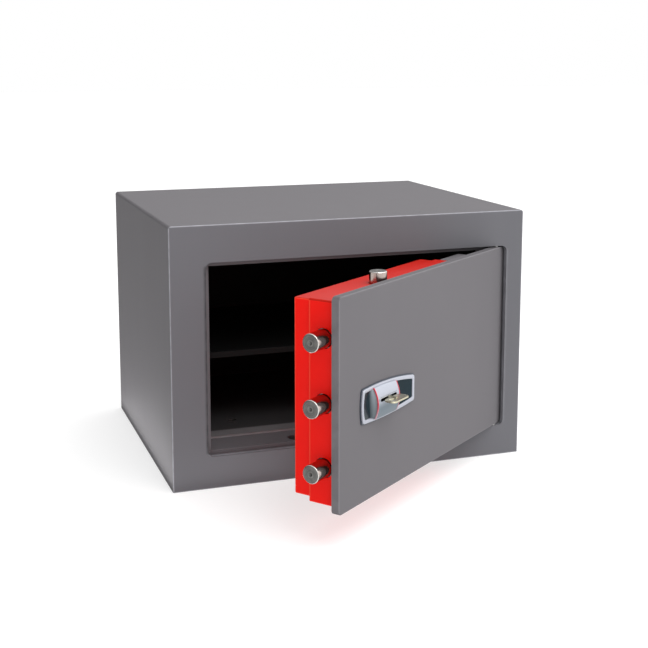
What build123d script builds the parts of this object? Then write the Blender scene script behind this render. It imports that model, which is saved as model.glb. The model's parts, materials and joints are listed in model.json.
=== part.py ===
from build123d import *
import math
import os

# Fireproof safe with a right-hinged door: the door stands ajar and its bolts are thrown.
# Millimetres, +Z up, -Y is the front. The origin is the middle of the body's underside.

# Body: bent outer sheet, face frame, liner and the fire fill between them
BODY_W = 500.0
BODY_D = 400.0
BODY_H = 350.0
SHEET = 2.0
BEND_R = 4.0
SHARP_R = 0.5
FACE_EDGE_R = 1.2
LINER_SHEET = 1.0
BACK_WALL = 45.0

# Door opening, as the widths of the face frame round it, and the stepped jamb behind it
FACE_LEFT = 47.5
FACE_RIGHT = 24.5
FACE_TOP = 49.0
FACE_BOTTOM = 43.0
OPENING_R = 8.0
LEDGE = 6.0
HINGE_LEDGE = 20.0
JAMB_DEPTH = 46.0
LINER_STEP = 3.0

# How far a cutting tool runs past the face it cuts
CUT_OVER = 1.0

# Door plate and how it hangs
DOOR_ANGLE = 37.5
DOOR_GAP = 2.0
PLATE_T = 10.0
PLATE_EDGE_R = 1.0
STOP_GAP = 0.5
PIVOT_INSET = 12.0
PIVOT_DEPTH = 6.0
PIN_R = 3.0
PIN_IN_DOOR = 20.0
PIN_IN_BODY = 15.0
WASHER_R = 5.0
WASHER_PLAY = 0.15
HINGE_BLOCK_W = 24.0
HINGE_BLOCK_D = 16.0
HINGE_BLOCK_H = 20.0
RUN_GAP = 0.05
SWING_GAP = 1.0

# Stepped cover over the boltwork, and the narrow cover beside it
COVER_INSET = 7.0
COVER_MARGIN = 6.5
COVER_W = 303.0
COVER_D1 = 35.0
COVER_D2 = 22.0
STEP_SIDE = 2.5
STEP_TOP = 1.5
STEP_BOTTOM = 5.0
COVER_SHEET = 1.5
COVER_R = 2.0
COVER_EDGE = 0.6
SIDE_COVER_GAP = 1.0
SIDE_COVER_W = 55.0
SIDE_COVER_D = 30.0
POST_R = 5.0
POST_INSET = 17.0
SCREW_R = 2.5
SCREW_HEAD_R = 5.0
SCREW_HEAD_H = 3.0
SCREW_LEN = 12.0
BOARD_T = 14.0

# Bolts and boltwork: the outer two side bolts are BOLT_EDGE from the door's top and bottom
BOLT_R = 11.0
BOLT_EDGE = 51.0
BOLT_OUT = 20.0
BOLT_IN = 2.0
BOLT_HOLE_GAP = 1.0
SOCKET_GAP = 0.5
SOCKET_END_GAP = 3.0
CUP_WALL = 1.0
CUP_GAP = 0.3
BOLT_CHAMFER = 1.0
DIMPLE_R = 2.5
DIMPLE_FLAT_R = 0.2
SLIDE_GAP = 0.1
SPIGOT_R = 6.0
SPIGOT_OVER = 1.0
GUIDE_X = 12.0
GUIDE_T = 3.0
GUIDE_FLANGE = 15.0
GUIDE_OVER = 6.0
BAR_X = 40.0
BAR_T = 8.0
BAR_D = 18.0
BAR_OVER = 15.0
BAR_FORWARD = 1.0
VBOLT_X = 126.0
VBOLT_OUT = 8.5
VBOLT_IN = 1.5
VBOLT_LEN = 57.0
VGUIDE_IN = 22.0
LINK_W = 20.0
LINK_T = 3.0
LINK_LAP = 11.0
CAM_T = 3.0
CAM_GAP = 0.3
CAM_PIN_R = 4.0
CAM_PIN_Z = 30.0
CAM_BORDER = 10.0
CAM_CORNER_R = 5.0

# Key lock, from the door's free edge and down from its middle
KEY_X = 94.5
KEY_DROP = 8.0
CASE_GAP = 3.0
CASE_RIGHT = 41.0
CASE_DOWN = 30.0
CASE_WALL = 2.0
CAVITY_R = 16.8
CAVITY_D = 15.0
TONGUE_H = 10.0
TONGUE_D = 8.0
TONGUE_IN = 7.0
TONGUE_RISE = 19.0
CAM_DISC_R = 16.5
CAM_DISC_T = 3.0
KEY_SHANK_R = 2.3
KEY_BIT_W = 30.0
KEY_BIT_L = 12.0
KEY_T = 3.0
KEY_CUTS = 3
KEY_CUT_W = 1.6
KEY_CUT_STEP = 1.0
KEY_SLOT_W = 37.0
KEY_SLOT_GAP = 0.3
BOW_W = 36.0
BOW_START = 12.0
BOW_L = 16.0
BOW_HOLE_R = 4.0
BOW_CORNER_R = 5.3
BOW_EDGE = 0.4

# Lock plate on the door's face: distances from the free edge and from the middle of the door
LOCK_X0 = 46.5
LOCK_X1 = 169.5
LOCK_LEFT_H = 43.0
LOCK_RIGHT_H = 34.5
LOCK_LEFT_DROP = 10.5
LOCK_RIGHT_DROP = 14.5
LOCK_BOW_SIDE = 2.5
LOCK_BOW_TOP = 4.0
LOCK_BOW_BOTTOM = 2.5
LOCK_CORNER_R = 4.0
GASKET_W = 1.2
GASKET_T = 1.0
BEZEL_W = 4.5
BEZEL_T = 2.0
BEZEL_EDGE = 0.6
PANEL_T = 0.5
BARREL_W = 48.0
BARREL_H = 42.0
BARREL_RISE = 0.5
BARREL_BULGE = 6.5
RING_W = 1.2
RING_PROUD = 0.5

# Shelf and its rails
SHELF_Z = 112.0
SHELF_T = 1.5
SHELF_GAP = 1.0
SHELF_LIP = 8.0
SHELF_FRONT = 18.0
RAIL = 12.0
RAIL_T = 1.5
RAIL_SETBACK = 20.0

# Floor anchor holes
ANCHOR_R = 6.5
ANCHOR_DX = 280.0
ANCHOR_DY = 200.0
ANCHOR_Y = 20.0
SLEEVE_WALL = 2.0

# Places that follow from the sizes above
FRONT = -BODY_D / 2
BACK = BODY_D / 2
OX0 = -BODY_W / 2 + FACE_LEFT
OX1 = BODY_W / 2 - FACE_RIGHT
OZ0 = FACE_BOTTOM
OZ1 = BODY_H - FACE_TOP
REBATE = PLATE_T + STOP_GAP
JX0, JX1 = OX0 + LEDGE, OX1 - HINGE_LEDGE
JZ0, JZ1 = OZ0 + LEDGE, OZ1 - LEDGE
JY0 = FRONT + REBATE
JY1 = JY0 + JAMB_DEPTH
LX0, LX1 = JX0 + LINER_STEP, JX1 - LINER_STEP
LZ0, LZ1 = JZ0 + LINER_STEP, JZ1 - LINER_STEP
LY1 = BACK - BACK_WALL
DX0, DX1 = OX0 + DOOR_GAP, OX1 - DOOR_GAP
DZ0, DZ1 = OZ0 + DOOR_GAP, OZ1 - DOOR_GAP
PIVOT_X = DX1 - PIVOT_INSET
PIVOT_Y = FRONT + PIVOT_DEPTH
SWING_R = math.hypot(PIVOT_INSET, max(PIVOT_DEPTH, PLATE_T - PIVOT_DEPTH))
POCKET_D = PIVOT_DEPTH + SWING_R + SWING_GAP
POCKET_X = PIVOT_X - SWING_R - SWING_GAP
SOCKET_R = BOLT_R + SOCKET_GAP
BOLT_DEPTH = REBATE + SHEET + CUP_WALL + SOCKET_R + CUP_GAP
BOLT_Y = FRONT + BOLT_DEPTH
MID_Z = (DZ0 + DZ1) / 2
BOLT_Z = [DZ0 + BOLT_EDGE, MID_Z, DZ1 - BOLT_EDGE]
BOLT_PITCH = BOLT_Z[1] - BOLT_Z[0]
THROW = BOLT_OUT + BOLT_IN
VTHROW = VBOLT_OUT + VBOLT_IN
COVER_X0 = DX0 + COVER_INSET
COVER_X1 = COVER_X0 + COVER_W
COVER_Z0, COVER_Z1 = DZ0 + COVER_MARGIN, DZ1 - COVER_MARGIN
COVER_Y0 = FRONT + PLATE_T
COVER_Y1 = COVER_Y0 + COVER_D1
COVER_Y2 = COVER_Y1 + COVER_D2
HALF_BAR = BOLT_PITCH + BAR_OVER
BAR_Y1 = BOLT_Y + BAR_D / 2 - BAR_FORWARD
LINK_Y0 = BAR_Y1 - CAM_GAP - LINK_T
VBOLT_XR = DX0 + VBOLT_X
KEY_XR, KEY_ZR = DX0 + KEY_X, MID_Z - KEY_DROP
LOCK_INNER = GASKET_W + BEZEL_W
LOCK_SEAM = GASKET_W + BEZEL_W / 2
PLATE_CLEAR = FRONT - BODY_D / 4
PIVOT = Axis((PIVOT_X, PIVOT_Y, 0), (0, 0, 1))


def block(x0, x1, y0, y1, z0, z1):
    return Pos((x0 + x1) / 2, (y0 + y1) / 2, (z0 + z1) / 2) * Box(x1 - x0, y1 - y0, z1 - z0)


def slab(sketch, y0, y1):
    """A sketch drawn as seen from the front, carried from y1 forward to y0."""
    return extrude(Plane(origin=(0, y1, 0), x_dir=(1, 0, 0), z_dir=(0, -1, 0)) * sketch, y1 - y0)


def rounded(x0, x1, z0, z1, radius):
    return Pos((x0 + x1) / 2, (z0 + z1) / 2) * RectangleRounded(x1 - x0, z1 - z0, radius)


def rod_x(x0, x1, y, z, radius):
    return Pos((x0 + x1) / 2, y, z) * Rot(0, 90, 0) * Cylinder(radius, x1 - x0)


def rod_y(x, y0, y1, z, radius):
    return Pos(x, (y0 + y1) / 2, z) * Rot(90, 0, 0) * Cylinder(radius, y1 - y0)


def rod_z(x, y, z0, z1, radius):
    return Pos(x, y, (z0 + z1) / 2) * Cylinder(radius, z1 - z0)


def ajar(shape):
    """Swing a piece of the door from its closed place to the angle at which it is shown."""
    return shape.rotate(PIVOT, DOOR_ANGLE)


# Body

def body_section(inset):
    """The body seen from the front: square at the floor, with both top corners bent round."""
    width, height = BODY_W - 2 * inset, BODY_H - inset
    section = Pos(0, height / 2) * Rectangle(width, height)
    return fillet(section.vertices().group_by(Axis.Y)[-1], max(BEND_R - inset, SHARP_R))


def opening(grow, y0, y1):
    return slab(rounded(OX0 - grow, OX1 + grow, OZ0 - grow, OZ1 + grow, OPENING_R + grow), y0, y1)


def pocket(grow):
    """The deeper rebate that the hinge end of the door plate swings into."""
    keep = block(POCKET_X - grow, OX1 + grow, FRONT, BACK, 0, BODY_H)
    return opening(grow, JY0, FRONT + POCKET_D + grow) & keep


def tunnel(grow):
    return block(JX0 - grow, JX1 + grow, JY0, JY1, JZ0 - grow, JZ1 + grow)


def liner_box(grow):
    return block(LX0 - grow, LX1 + grow, JY1, LY1 + grow, LZ0 - grow, LZ1 + grow)


def liner_flange():
    return block(JX0 - SHEET, JX1 + SHEET, JY1, JY1 + LINER_SHEET, JZ0 - SHEET, JZ1 + SHEET)


def outer_shell():
    return slab(body_section(0), FRONT + SHEET, BACK) - slab(body_section(SHEET), FRONT, BACK)


def base_plate():
    plate = block(-BODY_W / 2 + SHEET, BODY_W / 2 - SHEET, FRONT + SHEET, BACK - SHEET, 0, SHEET)
    return plate - [rod_z(x, y, 0, SHEET, ANCHOR_R) for x, y in anchors()]


def back_panel():
    return slab(body_section(SHEET), BACK - SHEET, BACK)


def face_frame():
    face = slab(body_section(0), FRONT, FRONT + SHEET)
    face = fillet(face.faces().sort_by(Axis.Y)[0].outer_wire().edges(), FACE_EDGE_R)
    flange = opening(SHEET, FRONT + SHEET, JY0)
    frame = face + flange - opening(0, FRONT - CUT_OVER, JY0 + CUT_OVER)
    return frame - pin_holes(PIN_R + RUN_GAP)


def door_jamb():
    outside = opening(SHEET, JY0, JY0 + SHEET) + pocket(SHEET) + tunnel(SHEET)
    jamb = outside - tunnel(0) - pocket(0)
    for z in BOLT_Z:
        jamb -= rod_x(JX0 - 2 * SHEET, JX0 + SHEET, BOLT_Y, z, SOCKET_R)
    for z in (JZ0, JZ1):
        jamb -= rod_z(VBOLT_XR, BOLT_Y, z - SHEET - CUT_OVER, z + SHEET + CUT_OVER, SOCKET_R)
    return jamb


def inner_liner():
    liner = liner_box(LINER_SHEET) + liner_flange() - liner_box(0)
    return liner - [rod_z(x, y, 0, LZ0 + CUT_OVER, ANCHOR_R) for x, y in anchors()]


def anchors():
    return [(i * ANCHOR_DX / 2, ANCHOR_Y + j * ANCHOR_DY / 2) for i in (-1, 1) for j in (-1, 1)]


def anchor_sleeves():
    top = LZ0 - LINER_SHEET
    return [rod_z(x, y, SHEET, top, ANCHOR_R + SLEEVE_WALL) - rod_z(x, y, SHEET, top, ANCHOR_R)
            for x, y in anchors()]


def fill_voids():
    """Everything that the fire fill is cast round."""
    cups = [cup for cup, bore in socket_shapes()]
    sleeves = [rod_z(x, y, 0, LZ0, ANCHOR_R + SLEEVE_WALL) for x, y in anchors()]
    hollow = opening(SHEET, FRONT, JY0 + SHEET) + pocket(SHEET) + tunnel(SHEET)
    return [hollow, liner_box(LINER_SHEET), liner_flange()] + cups + sleeves + hinge_block_shapes()


def fill_piece(x0, x1, y0, y1, z0, z1):
    fill = slab(body_section(SHEET), FRONT + SHEET, BACK - SHEET)
    fill = (fill & block(x0, x1, y0, y1, z0, z1)) - block(x0, x1, y0, y1, 0, SHEET)
    return fill - fill_voids()


def insulation_top():
    return fill_piece(-BODY_W, BODY_W, FRONT, BACK, LZ1 + LINER_SHEET, BODY_H)


def insulation_bottom():
    return fill_piece(-BODY_W, BODY_W, FRONT, BACK, 0, LZ0 - LINER_SHEET)


def insulation_left():
    return fill_piece(-BODY_W, LX0 - LINER_SHEET, FRONT, BACK, LZ0 - LINER_SHEET, LZ1 + LINER_SHEET)


def insulation_right():
    return fill_piece(LX1 + LINER_SHEET, BODY_W, FRONT, BACK, LZ0 - LINER_SHEET, LZ1 + LINER_SHEET)


def insulation_back():
    lo, hi = LX0 - LINER_SHEET, LX1 + LINER_SHEET
    return fill_piece(lo, hi, LY1, BACK, LZ0 - LINER_SHEET, LZ1 + LINER_SHEET)


def socket_shapes():
    """Each socket's outer form and its bore, for the three side bolts, the top and the bottom."""
    shapes = []
    reach = DX0 - BOLT_OUT - SOCKET_END_GAP
    for z in BOLT_Z:
        cup = rod_x(reach - CUP_WALL, JX0 - SHEET, BOLT_Y, z, SOCKET_R + CUP_WALL)
        shapes.append((cup, rod_x(reach, JX0 - SHEET, BOLT_Y, z, SOCKET_R)))
    top, low = DZ1 + VBOLT_OUT + SOCKET_END_GAP, DZ0 - VBOLT_OUT - SOCKET_END_GAP
    cup = rod_z(VBOLT_XR, BOLT_Y, JZ1 + SHEET, top + CUP_WALL, SOCKET_R + CUP_WALL)
    shapes.append((cup, rod_z(VBOLT_XR, BOLT_Y, JZ1 + SHEET, top, SOCKET_R)))
    cup = rod_z(VBOLT_XR, BOLT_Y, low - CUP_WALL, JZ0 - SHEET, SOCKET_R + CUP_WALL)
    shapes.append((cup, rod_z(VBOLT_XR, BOLT_Y, low, JZ0 - SHEET, SOCKET_R)))
    return shapes


def bolt_sockets():
    return [cup - bore for cup, bore in socket_shapes()]


def pin_holes(radius):
    """The two bores of the hinge line, one over and one under the door."""
    reach = DOOR_GAP + PIN_IN_BODY + SHEET
    return [rod_z(PIVOT_X, PIVOT_Y, DZ1, DZ1 + reach, radius),
            rod_z(PIVOT_X, PIVOT_Y, DZ0 - reach, DZ0, radius)]


def hinge_block_shapes():
    x0, x1 = PIVOT_X - HINGE_BLOCK_W / 2, PIVOT_X + HINGE_BLOCK_W / 2
    y0, y1 = FRONT + SHEET, FRONT + SHEET + HINGE_BLOCK_D
    return [block(x0, x1, y0, y1, OZ1 + SHEET, OZ1 + SHEET + HINGE_BLOCK_H),
            block(x0, x1, y0, y1, OZ0 - SHEET - HINGE_BLOCK_H, OZ0 - SHEET)]


def hinge_blocks():
    return [b - pin_holes(PIN_R + RUN_GAP) for b in hinge_block_shapes()]


def hinge_washer():
    ring = rod_z(PIVOT_X, PIVOT_Y, OZ0, DZ0 - WASHER_PLAY, WASHER_R)
    return ring - rod_z(PIVOT_X, PIVOT_Y, 0, BODY_H, PIN_R + RUN_GAP)


def shelf_rails():
    """Two angles on the side walls that carry the shelf."""
    top = LZ0 + SHELF_Z - SHELF_LIP
    y0, y1 = JY1 + RAIL_SETBACK, LY1 - RAIL_SETBACK
    rails = []
    for wall, inward in ((LX0, 1), (LX1, -1)):
        arm, leg = sorted((wall, wall + inward * RAIL)), sorted((wall, wall + inward * RAIL_T))
        rails.append(block(*arm, y0, y1, top - RAIL_T, top) + block(*leg, y0, y1, top - RAIL, top))
    return rails


def shelf_plate():
    """A tray-edged sheet: flat top with all four edges bent down."""
    z0, z1 = LZ0 + SHELF_Z - SHELF_LIP, LZ0 + SHELF_Z
    x0, x1 = LX0 + SHELF_GAP, LX1 - SHELF_GAP
    y0, y1 = JY1 + SHELF_FRONT, LY1 - SHELF_GAP
    tray = block(x0, x1, y0, y1, z0, z1)
    tray = fillet(tray.edges().group_by(Axis.Z)[-1], SHELF_T / 2)
    return tray - block(x0 + SHELF_T, x1 - SHELF_T, y0 + SHELF_T, y1 - SHELF_T, z0 - CUT_OVER, z1 - SHELF_T)


# Door

def door_plate():
    outline = rounded(DX0, DX1, DZ0, DZ1, max(OPENING_R - DOOR_GAP, SHARP_R))
    plate = slab(outline, FRONT, FRONT + PLATE_T)
    plate = fillet(plate.faces().sort_by(Axis.Y)[0].edges(), PLATE_EDGE_R)
    plate -= slab(key_slot(KEY_SLOT_W), FRONT - CUT_OVER, FRONT + PLATE_T + CUT_OVER)
    for z0, z1 in ((DZ1 - PIN_IN_DOOR, DZ1 + CUT_OVER), (DZ0 - CUT_OVER, DZ0 + PIN_IN_DOOR)):
        plate -= rod_z(PIVOT_X, PIVOT_Y, z0, z1, PIN_R + RUN_GAP / 2)
    return ajar(plate)


def key_slot(width):
    """A level slot for the key's bits with a round middle for its shank."""
    slot = SlotOverall(width, KEY_T + 2 * KEY_SLOT_GAP) + Circle(KEY_SHANK_R + KEY_SLOT_GAP)
    return Pos(KEY_XR, KEY_ZR) * slot


def hinge_pins():
    up, down = DZ1 + DOOR_GAP + PIN_IN_BODY, DZ0 - DOOR_GAP - PIN_IN_BODY
    pins = [rod_z(PIVOT_X, PIVOT_Y, DZ1 - PIN_IN_DOOR, up, PIN_R),
            rod_z(PIVOT_X, PIVOT_Y, down, DZ0 + PIN_IN_DOOR, PIN_R)]
    return [ajar(pin) for pin in pins]


def cover_form(wall):
    """The cover's two steps, drawn in by the thickness of a wall."""
    radius = max(COVER_R - wall, SHARP_R)
    first = slab(rounded(COVER_X0 + wall, COVER_X1 - wall, COVER_Z0 + wall, COVER_Z1 - wall, radius),
                 COVER_Y0, COVER_Y1 - wall)
    second = slab(rounded(COVER_X0 + STEP_SIDE + wall, COVER_X1 - STEP_SIDE - wall,
                          COVER_Z0 + STEP_BOTTOM + wall, COVER_Z1 - STEP_TOP - wall, radius),
                  COVER_Y0, COVER_Y2 - wall)
    return first + second


def lock_cover():
    cover = cover_form(0)
    rear = cover.faces().sort_by(Axis.Y)[-1]
    cover = chamfer(rear.edges(), COVER_EDGE) - cover_form(COVER_SHEET)
    for z in BOLT_Z:
        cover -= rod_x(COVER_X0 - CUT_OVER, COVER_X0 + 2 * COVER_SHEET + STEP_SIDE, BOLT_Y, z,
                       BOLT_R + BOLT_HOLE_GAP)
    for z in (COVER_Z0, COVER_Z1):
        cover -= rod_z(VBOLT_XR, BOLT_Y, z - 2 * COVER_SHEET, z + 2 * COVER_SHEET, BOLT_R + BOLT_HOLE_GAP)
    cover -= [rod_y(x, COVER_Y1, COVER_Y2 + CUT_OVER, z, SCREW_R + SLIDE_GAP) for x, z in posts()]
    return ajar(cover)


def posts():
    """Where the standoffs are that the cover is screwed to."""
    return [(x, z) for x in (COVER_X0 + POST_INSET, COVER_X1 - POST_INSET)
            for z in (COVER_Z0 + POST_INSET, COVER_Z1 - POST_INSET)]


def cover_posts():
    rear = COVER_Y2 - COVER_SHEET
    return [ajar(rod_y(x, COVER_Y0, rear, z, POST_R)
                 - rod_y(x, rear - SCREW_LEN - CUT_OVER, rear, z, SCREW_R + SLIDE_GAP)) for x, z in posts()]


def cover_screws():
    screws = []
    for x, z in posts():
        head = rod_y(x, COVER_Y2, COVER_Y2 + SCREW_HEAD_H, z, SCREW_HEAD_R)
        head = chamfer(head.edges().sort_by(Axis.Y)[-1], SCREW_HEAD_H / 2)
        screws.append(ajar(head + rod_y(x, COVER_Y2 - SCREW_LEN, COVER_Y2, z, SCREW_R)))
    return screws


def door_board():
    """The fire board in the deep part of the cover, drilled for the standoffs."""
    inset = COVER_SHEET + CAM_GAP
    outline = rounded(COVER_X0 + STEP_SIDE + inset, COVER_X1 - STEP_SIDE - inset,
                      COVER_Z0 + STEP_BOTTOM + inset, COVER_Z1 - STEP_TOP - inset, COVER_R)
    rear = COVER_Y2 - COVER_SHEET
    board = slab(outline, rear - BOARD_T, rear)
    return ajar(board - [rod_y(x, rear - BOARD_T, rear, z, POST_R + CAM_GAP) for x, z in posts()])


def side_cover():
    """The shallow closed channel between the cover and the hinge line."""
    x0 = COVER_X1 + SIDE_COVER_GAP
    y1 = COVER_Y0 + SIDE_COVER_D
    x1, t = x0 + SIDE_COVER_W, COVER_SHEET
    channel = slab(rounded(x0, x1, COVER_Z0, COVER_Z1, COVER_R), COVER_Y0, y1)
    channel = chamfer(channel.faces().sort_by(Axis.Y)[-1].edges(), COVER_EDGE)
    return ajar(channel - block(x0 + t, x1 - t, COVER_Y0 - CUT_OVER, y1 - t, COVER_Z0 + t, COVER_Z1 - t))


# Boltwork

def side_bolt(z):
    tip, root = DX0 - BOLT_OUT, DX0 + BAR_X
    shank = rod_x(tip, root, BOLT_Y, z, BOLT_R)
    shank = chamfer(shank.edges().group_by(Axis.X)[0], BOLT_CHAMFER)
    dimple = Pos(tip, BOLT_Y, z) * Rot(0, 90, 0) * Cone(DIMPLE_R, DIMPLE_FLAT_R, 2 * DIMPLE_R)
    return ajar(shank - dimple + rod_x(root, root + BAR_T + SPIGOT_OVER, BOLT_Y, z, SPIGOT_R))


def bolt_bar():
    x0, x1 = DX0 + BAR_X, DX0 + BAR_X + BAR_T
    bar = block(x0, x1, BAR_Y1 - BAR_D, BAR_Y1, MID_Z - HALF_BAR, MID_Z + HALF_BAR)
    bar = fillet(bar.edges().filter_by(Axis.Y), SHEET)
    holes = [rod_x(x0 - CUT_OVER, x1 + CUT_OVER, BOLT_Y, z, SPIGOT_R + SLIDE_GAP) for z in BOLT_Z]
    return ajar(bar - holes)


def cam_plate():
    """The plate on the bolt bar whose slanted slots draw the top and bottom bolts."""
    high = CAM_PIN_Z + CAM_PIN_R + CAM_BORDER
    outline = rounded(DX0 + BAR_X, VBOLT_XR + CAM_PIN_R + CAM_BORDER, MID_Z - high, MID_Z + high,
                      CAM_CORNER_R)
    length = math.hypot(THROW, VTHROW) + 2 * (CAM_PIN_R + CAM_GAP)
    for side in (-1, 1):
        slope = math.degrees(math.atan2(side * VTHROW, THROW))
        middle = Pos(VBOLT_XR - THROW / 2, MID_Z + side * (CAM_PIN_Z - VTHROW / 2))
        outline -= middle * Rot(0, 0, slope) * SlotOverall(length, 2 * (CAM_PIN_R + CAM_GAP))
    return ajar(slab(outline, BAR_Y1, BAR_Y1 + CAM_T))


def lock_tongue():
    """The square bolt of the key lock, fixed to the bolt bar."""
    x0 = DX0 + BAR_X + BAR_T
    z0 = KEY_ZR + TONGUE_RISE
    y1 = FRONT + PLATE_T + CASE_WALL + CAVITY_D
    return ajar(block(x0, case_x0() + TONGUE_IN, y1 - TONGUE_D, y1, z0, z0 + TONGUE_H))


def vertical_bolt(side):
    """side is 1 for the bolt that rises into the header, -1 for the one that drops into the sill."""
    edge = DZ1 if side > 0 else DZ0
    tip, root = edge + side * VBOLT_OUT, edge + side * (VBOLT_OUT - VBOLT_LEN)
    low, high = sorted((tip, root))
    shank = rod_z(VBOLT_XR, BOLT_Y, low, high, BOLT_R)
    shank = chamfer(shank.edges().group_by(Axis.Z)[-1 if side > 0 else 0], BOLT_CHAMFER)
    lap0, lap1 = sorted((root, root + side * LINK_LAP))
    return ajar(shank - block(VBOLT_XR - 2 * BOLT_R, VBOLT_XR + 2 * BOLT_R,
                              LINK_Y0, BACK, lap0, lap1))


def bolt_link(side):
    """The flat link from a vertical bolt to its pin in the cam plate's slot."""
    edge = DZ1 if side > 0 else DZ0
    pin_z = MID_Z + side * CAM_PIN_Z
    ends = sorted((edge + side * (VBOLT_OUT - VBOLT_LEN + LINK_LAP), pin_z - side * CAM_BORDER))
    strip = slab(rounded(VBOLT_XR - LINK_W / 2, VBOLT_XR + LINK_W / 2, *ends, LINK_T),
                 LINK_Y0, LINK_Y0 + LINK_T)
    return ajar(strip + rod_y(VBOLT_XR, LINK_Y0, BAR_Y1 + CAM_T + SHEET, pin_z, CAM_PIN_R))


def side_bolt_guide():
    """An angle on the back of the door plate that the three side bolts run through."""
    x0 = DX0 + GUIDE_X
    half = BOLT_PITCH + BOLT_R + GUIDE_OVER
    web = block(x0, x0 + GUIDE_T, COVER_Y0, BOLT_Y + BOLT_R + SHEET, MID_Z - half, MID_Z + half)
    foot = block(x0, x0 + GUIDE_T + GUIDE_FLANGE, COVER_Y0, COVER_Y0 + SHEET, MID_Z - half, MID_Z + half)
    holes = [rod_x(x0 - CUT_OVER, x0 + GUIDE_T + CUT_OVER, BOLT_Y, z, BOLT_R + SLIDE_GAP) for z in BOLT_Z]
    return ajar(web + foot - holes)


def vertical_guide(side):
    edge = DZ1 if side > 0 else DZ0
    z = edge - side * (COVER_MARGIN + VGUIDE_IN)
    half = BOLT_R + GUIDE_OVER
    x0, x1 = VBOLT_XR - half, VBOLT_XR + half
    web = block(x0, x1, COVER_Y0, BOLT_Y + BOLT_R + SHEET, *sorted((z, z + side * GUIDE_T)))
    foot = block(x0, x1, COVER_Y0, COVER_Y0 + SHEET, *sorted((z, z + side * GUIDE_FLANGE)))
    return ajar(web + foot - rod_z(VBOLT_XR, BOLT_Y, z - BOLT_R, z + BOLT_R, BOLT_R + SLIDE_GAP))


# Key lock

def case_x0():
    """The lock case's left side, clear of the bolt bar when the bolts are drawn."""
    return DX0 + BAR_X + BAR_T + THROW + CASE_GAP


def lock_case():
    y0, y1 = COVER_Y0, COVER_Y0 + 2 * CASE_WALL + CAVITY_D
    x0, x1 = case_x0(), KEY_XR + CASE_RIGHT
    z0, z1 = KEY_ZR - CASE_DOWN, KEY_ZR + TONGUE_RISE + TONGUE_H + CASE_WALL
    case = block(x0, x1, y0, y1, z0, z1)
    case = fillet(case.edges().filter_by(Axis.Y), SHEET)
    front, rear = y0 + CASE_WALL, y0 + CASE_WALL + CAVITY_D
    case -= rod_y(KEY_XR, front, rear, KEY_ZR, CAVITY_R)
    case -= slab(key_slot(KEY_SLOT_W), y0 - CUT_OVER, front + CUT_OVER)
    low, high = KEY_ZR + TONGUE_RISE - CAM_GAP, KEY_ZR + TONGUE_RISE + TONGUE_H + CAM_GAP
    case -= block(x0 - CUT_OVER, x0 + TONGUE_IN + THROW + CUT_OVER,
                  rear - TONGUE_D - CAM_GAP, rear + CAM_GAP, low, high)
    return ajar(case)


def lock_cam():
    """The slotted disc that the key turns."""
    y0 = COVER_Y0 + CASE_WALL + CAM_GAP
    y1 = y0 + CAM_DISC_T
    slot = Pos(KEY_XR, KEY_ZR) * Rectangle(KEY_BIT_W + 2 * CAM_GAP, KEY_T + 2 * CAM_GAP)
    disc = rod_y(KEY_XR, y0, y1, KEY_ZR, CAM_DISC_R) - slab(slot, y0 - CUT_OVER, y1 + CUT_OVER)
    return ajar(disc - rod_y(KEY_XR, y0 - CUT_OVER, y1 + CUT_OVER, KEY_ZR, KEY_SHANK_R + SLIDE_GAP))


def key():
    """A double-bitted safe key standing level in its slot."""
    deep = COVER_Y0 + CASE_WALL + CAVITY_D - SHEET
    shank = rod_y(KEY_XR, FRONT - BOW_START - BOW_L / 2, deep, KEY_ZR, KEY_SHANK_R)
    bits = block(KEY_XR - KEY_BIT_W / 2, KEY_XR + KEY_BIT_W / 2, deep - KEY_BIT_L, deep,
                 KEY_ZR - KEY_T / 2, KEY_ZR + KEY_T / 2)
    for side in (-1, 1):
        for cut in range(KEY_CUTS):
            x = KEY_XR + side * KEY_BIT_W / 2
            y = deep - KEY_BIT_L + (cut + 0.5) * KEY_BIT_L / KEY_CUTS
            depth = (cut + 1) * KEY_CUT_STEP
            bits -= block(x - depth, x + depth, y - KEY_CUT_W / 2, y + KEY_CUT_W / 2,
                          KEY_ZR - KEY_T, KEY_ZR + KEY_T)
    middle = FRONT - BOW_START - BOW_L / 2
    bow = Plane(origin=(KEY_XR, middle, KEY_ZR - KEY_T / 2)) * RectangleRounded(BOW_W, BOW_L, BOW_CORNER_R)
    bow = extrude(bow, KEY_T)
    bow = chamfer(bow.edges().filter_by(GeomType.LINE).filter_by(Plane.XY), BOW_EDGE)
    bow -= rod_z(KEY_XR - BOW_W / 4, middle, 0, BODY_H, BOW_HOLE_R)
    return ajar(bow + shank + bits)


# Lock plate on the door's face

def lock_outline(inset):
    """Four gently bowed sides with rounded corners, taller and a little higher at the free edge."""
    x0, x1 = DX0 + LOCK_X0 + inset, DX0 + LOCK_X1 - inset
    left_z, right_z = MID_Z - LOCK_LEFT_DROP, MID_Z - LOCK_RIGHT_DROP
    left, right = LOCK_LEFT_H / 2 - inset, LOCK_RIGHT_H / 2 - inset
    bl, br = (x0, left_z - left), (x1, right_z - right)
    tl, tr = (x0, left_z + left), (x1, right_z + right)
    xm, low, high = (x0 + x1) / 2, (bl[1] + br[1]) / 2, (tl[1] + tr[1]) / 2
    sides = [ThreePointArc(bl, (xm, low - LOCK_BOW_BOTTOM), br), Line(br, tr),
             ThreePointArc(tr, (xm, high + LOCK_BOW_TOP), tl),
             ThreePointArc(tl, (x0 - LOCK_BOW_SIDE, left_z), bl)]
    face = make_face(Curve() + sides)
    return fillet(face.vertices(), max(LOCK_CORNER_R - inset / 2, SHARP_R))


def lock_gasket():
    ring = lock_outline(0) - lock_outline(LOCK_SEAM)
    return ajar(slab(ring, FRONT - GASKET_T, FRONT))


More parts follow.
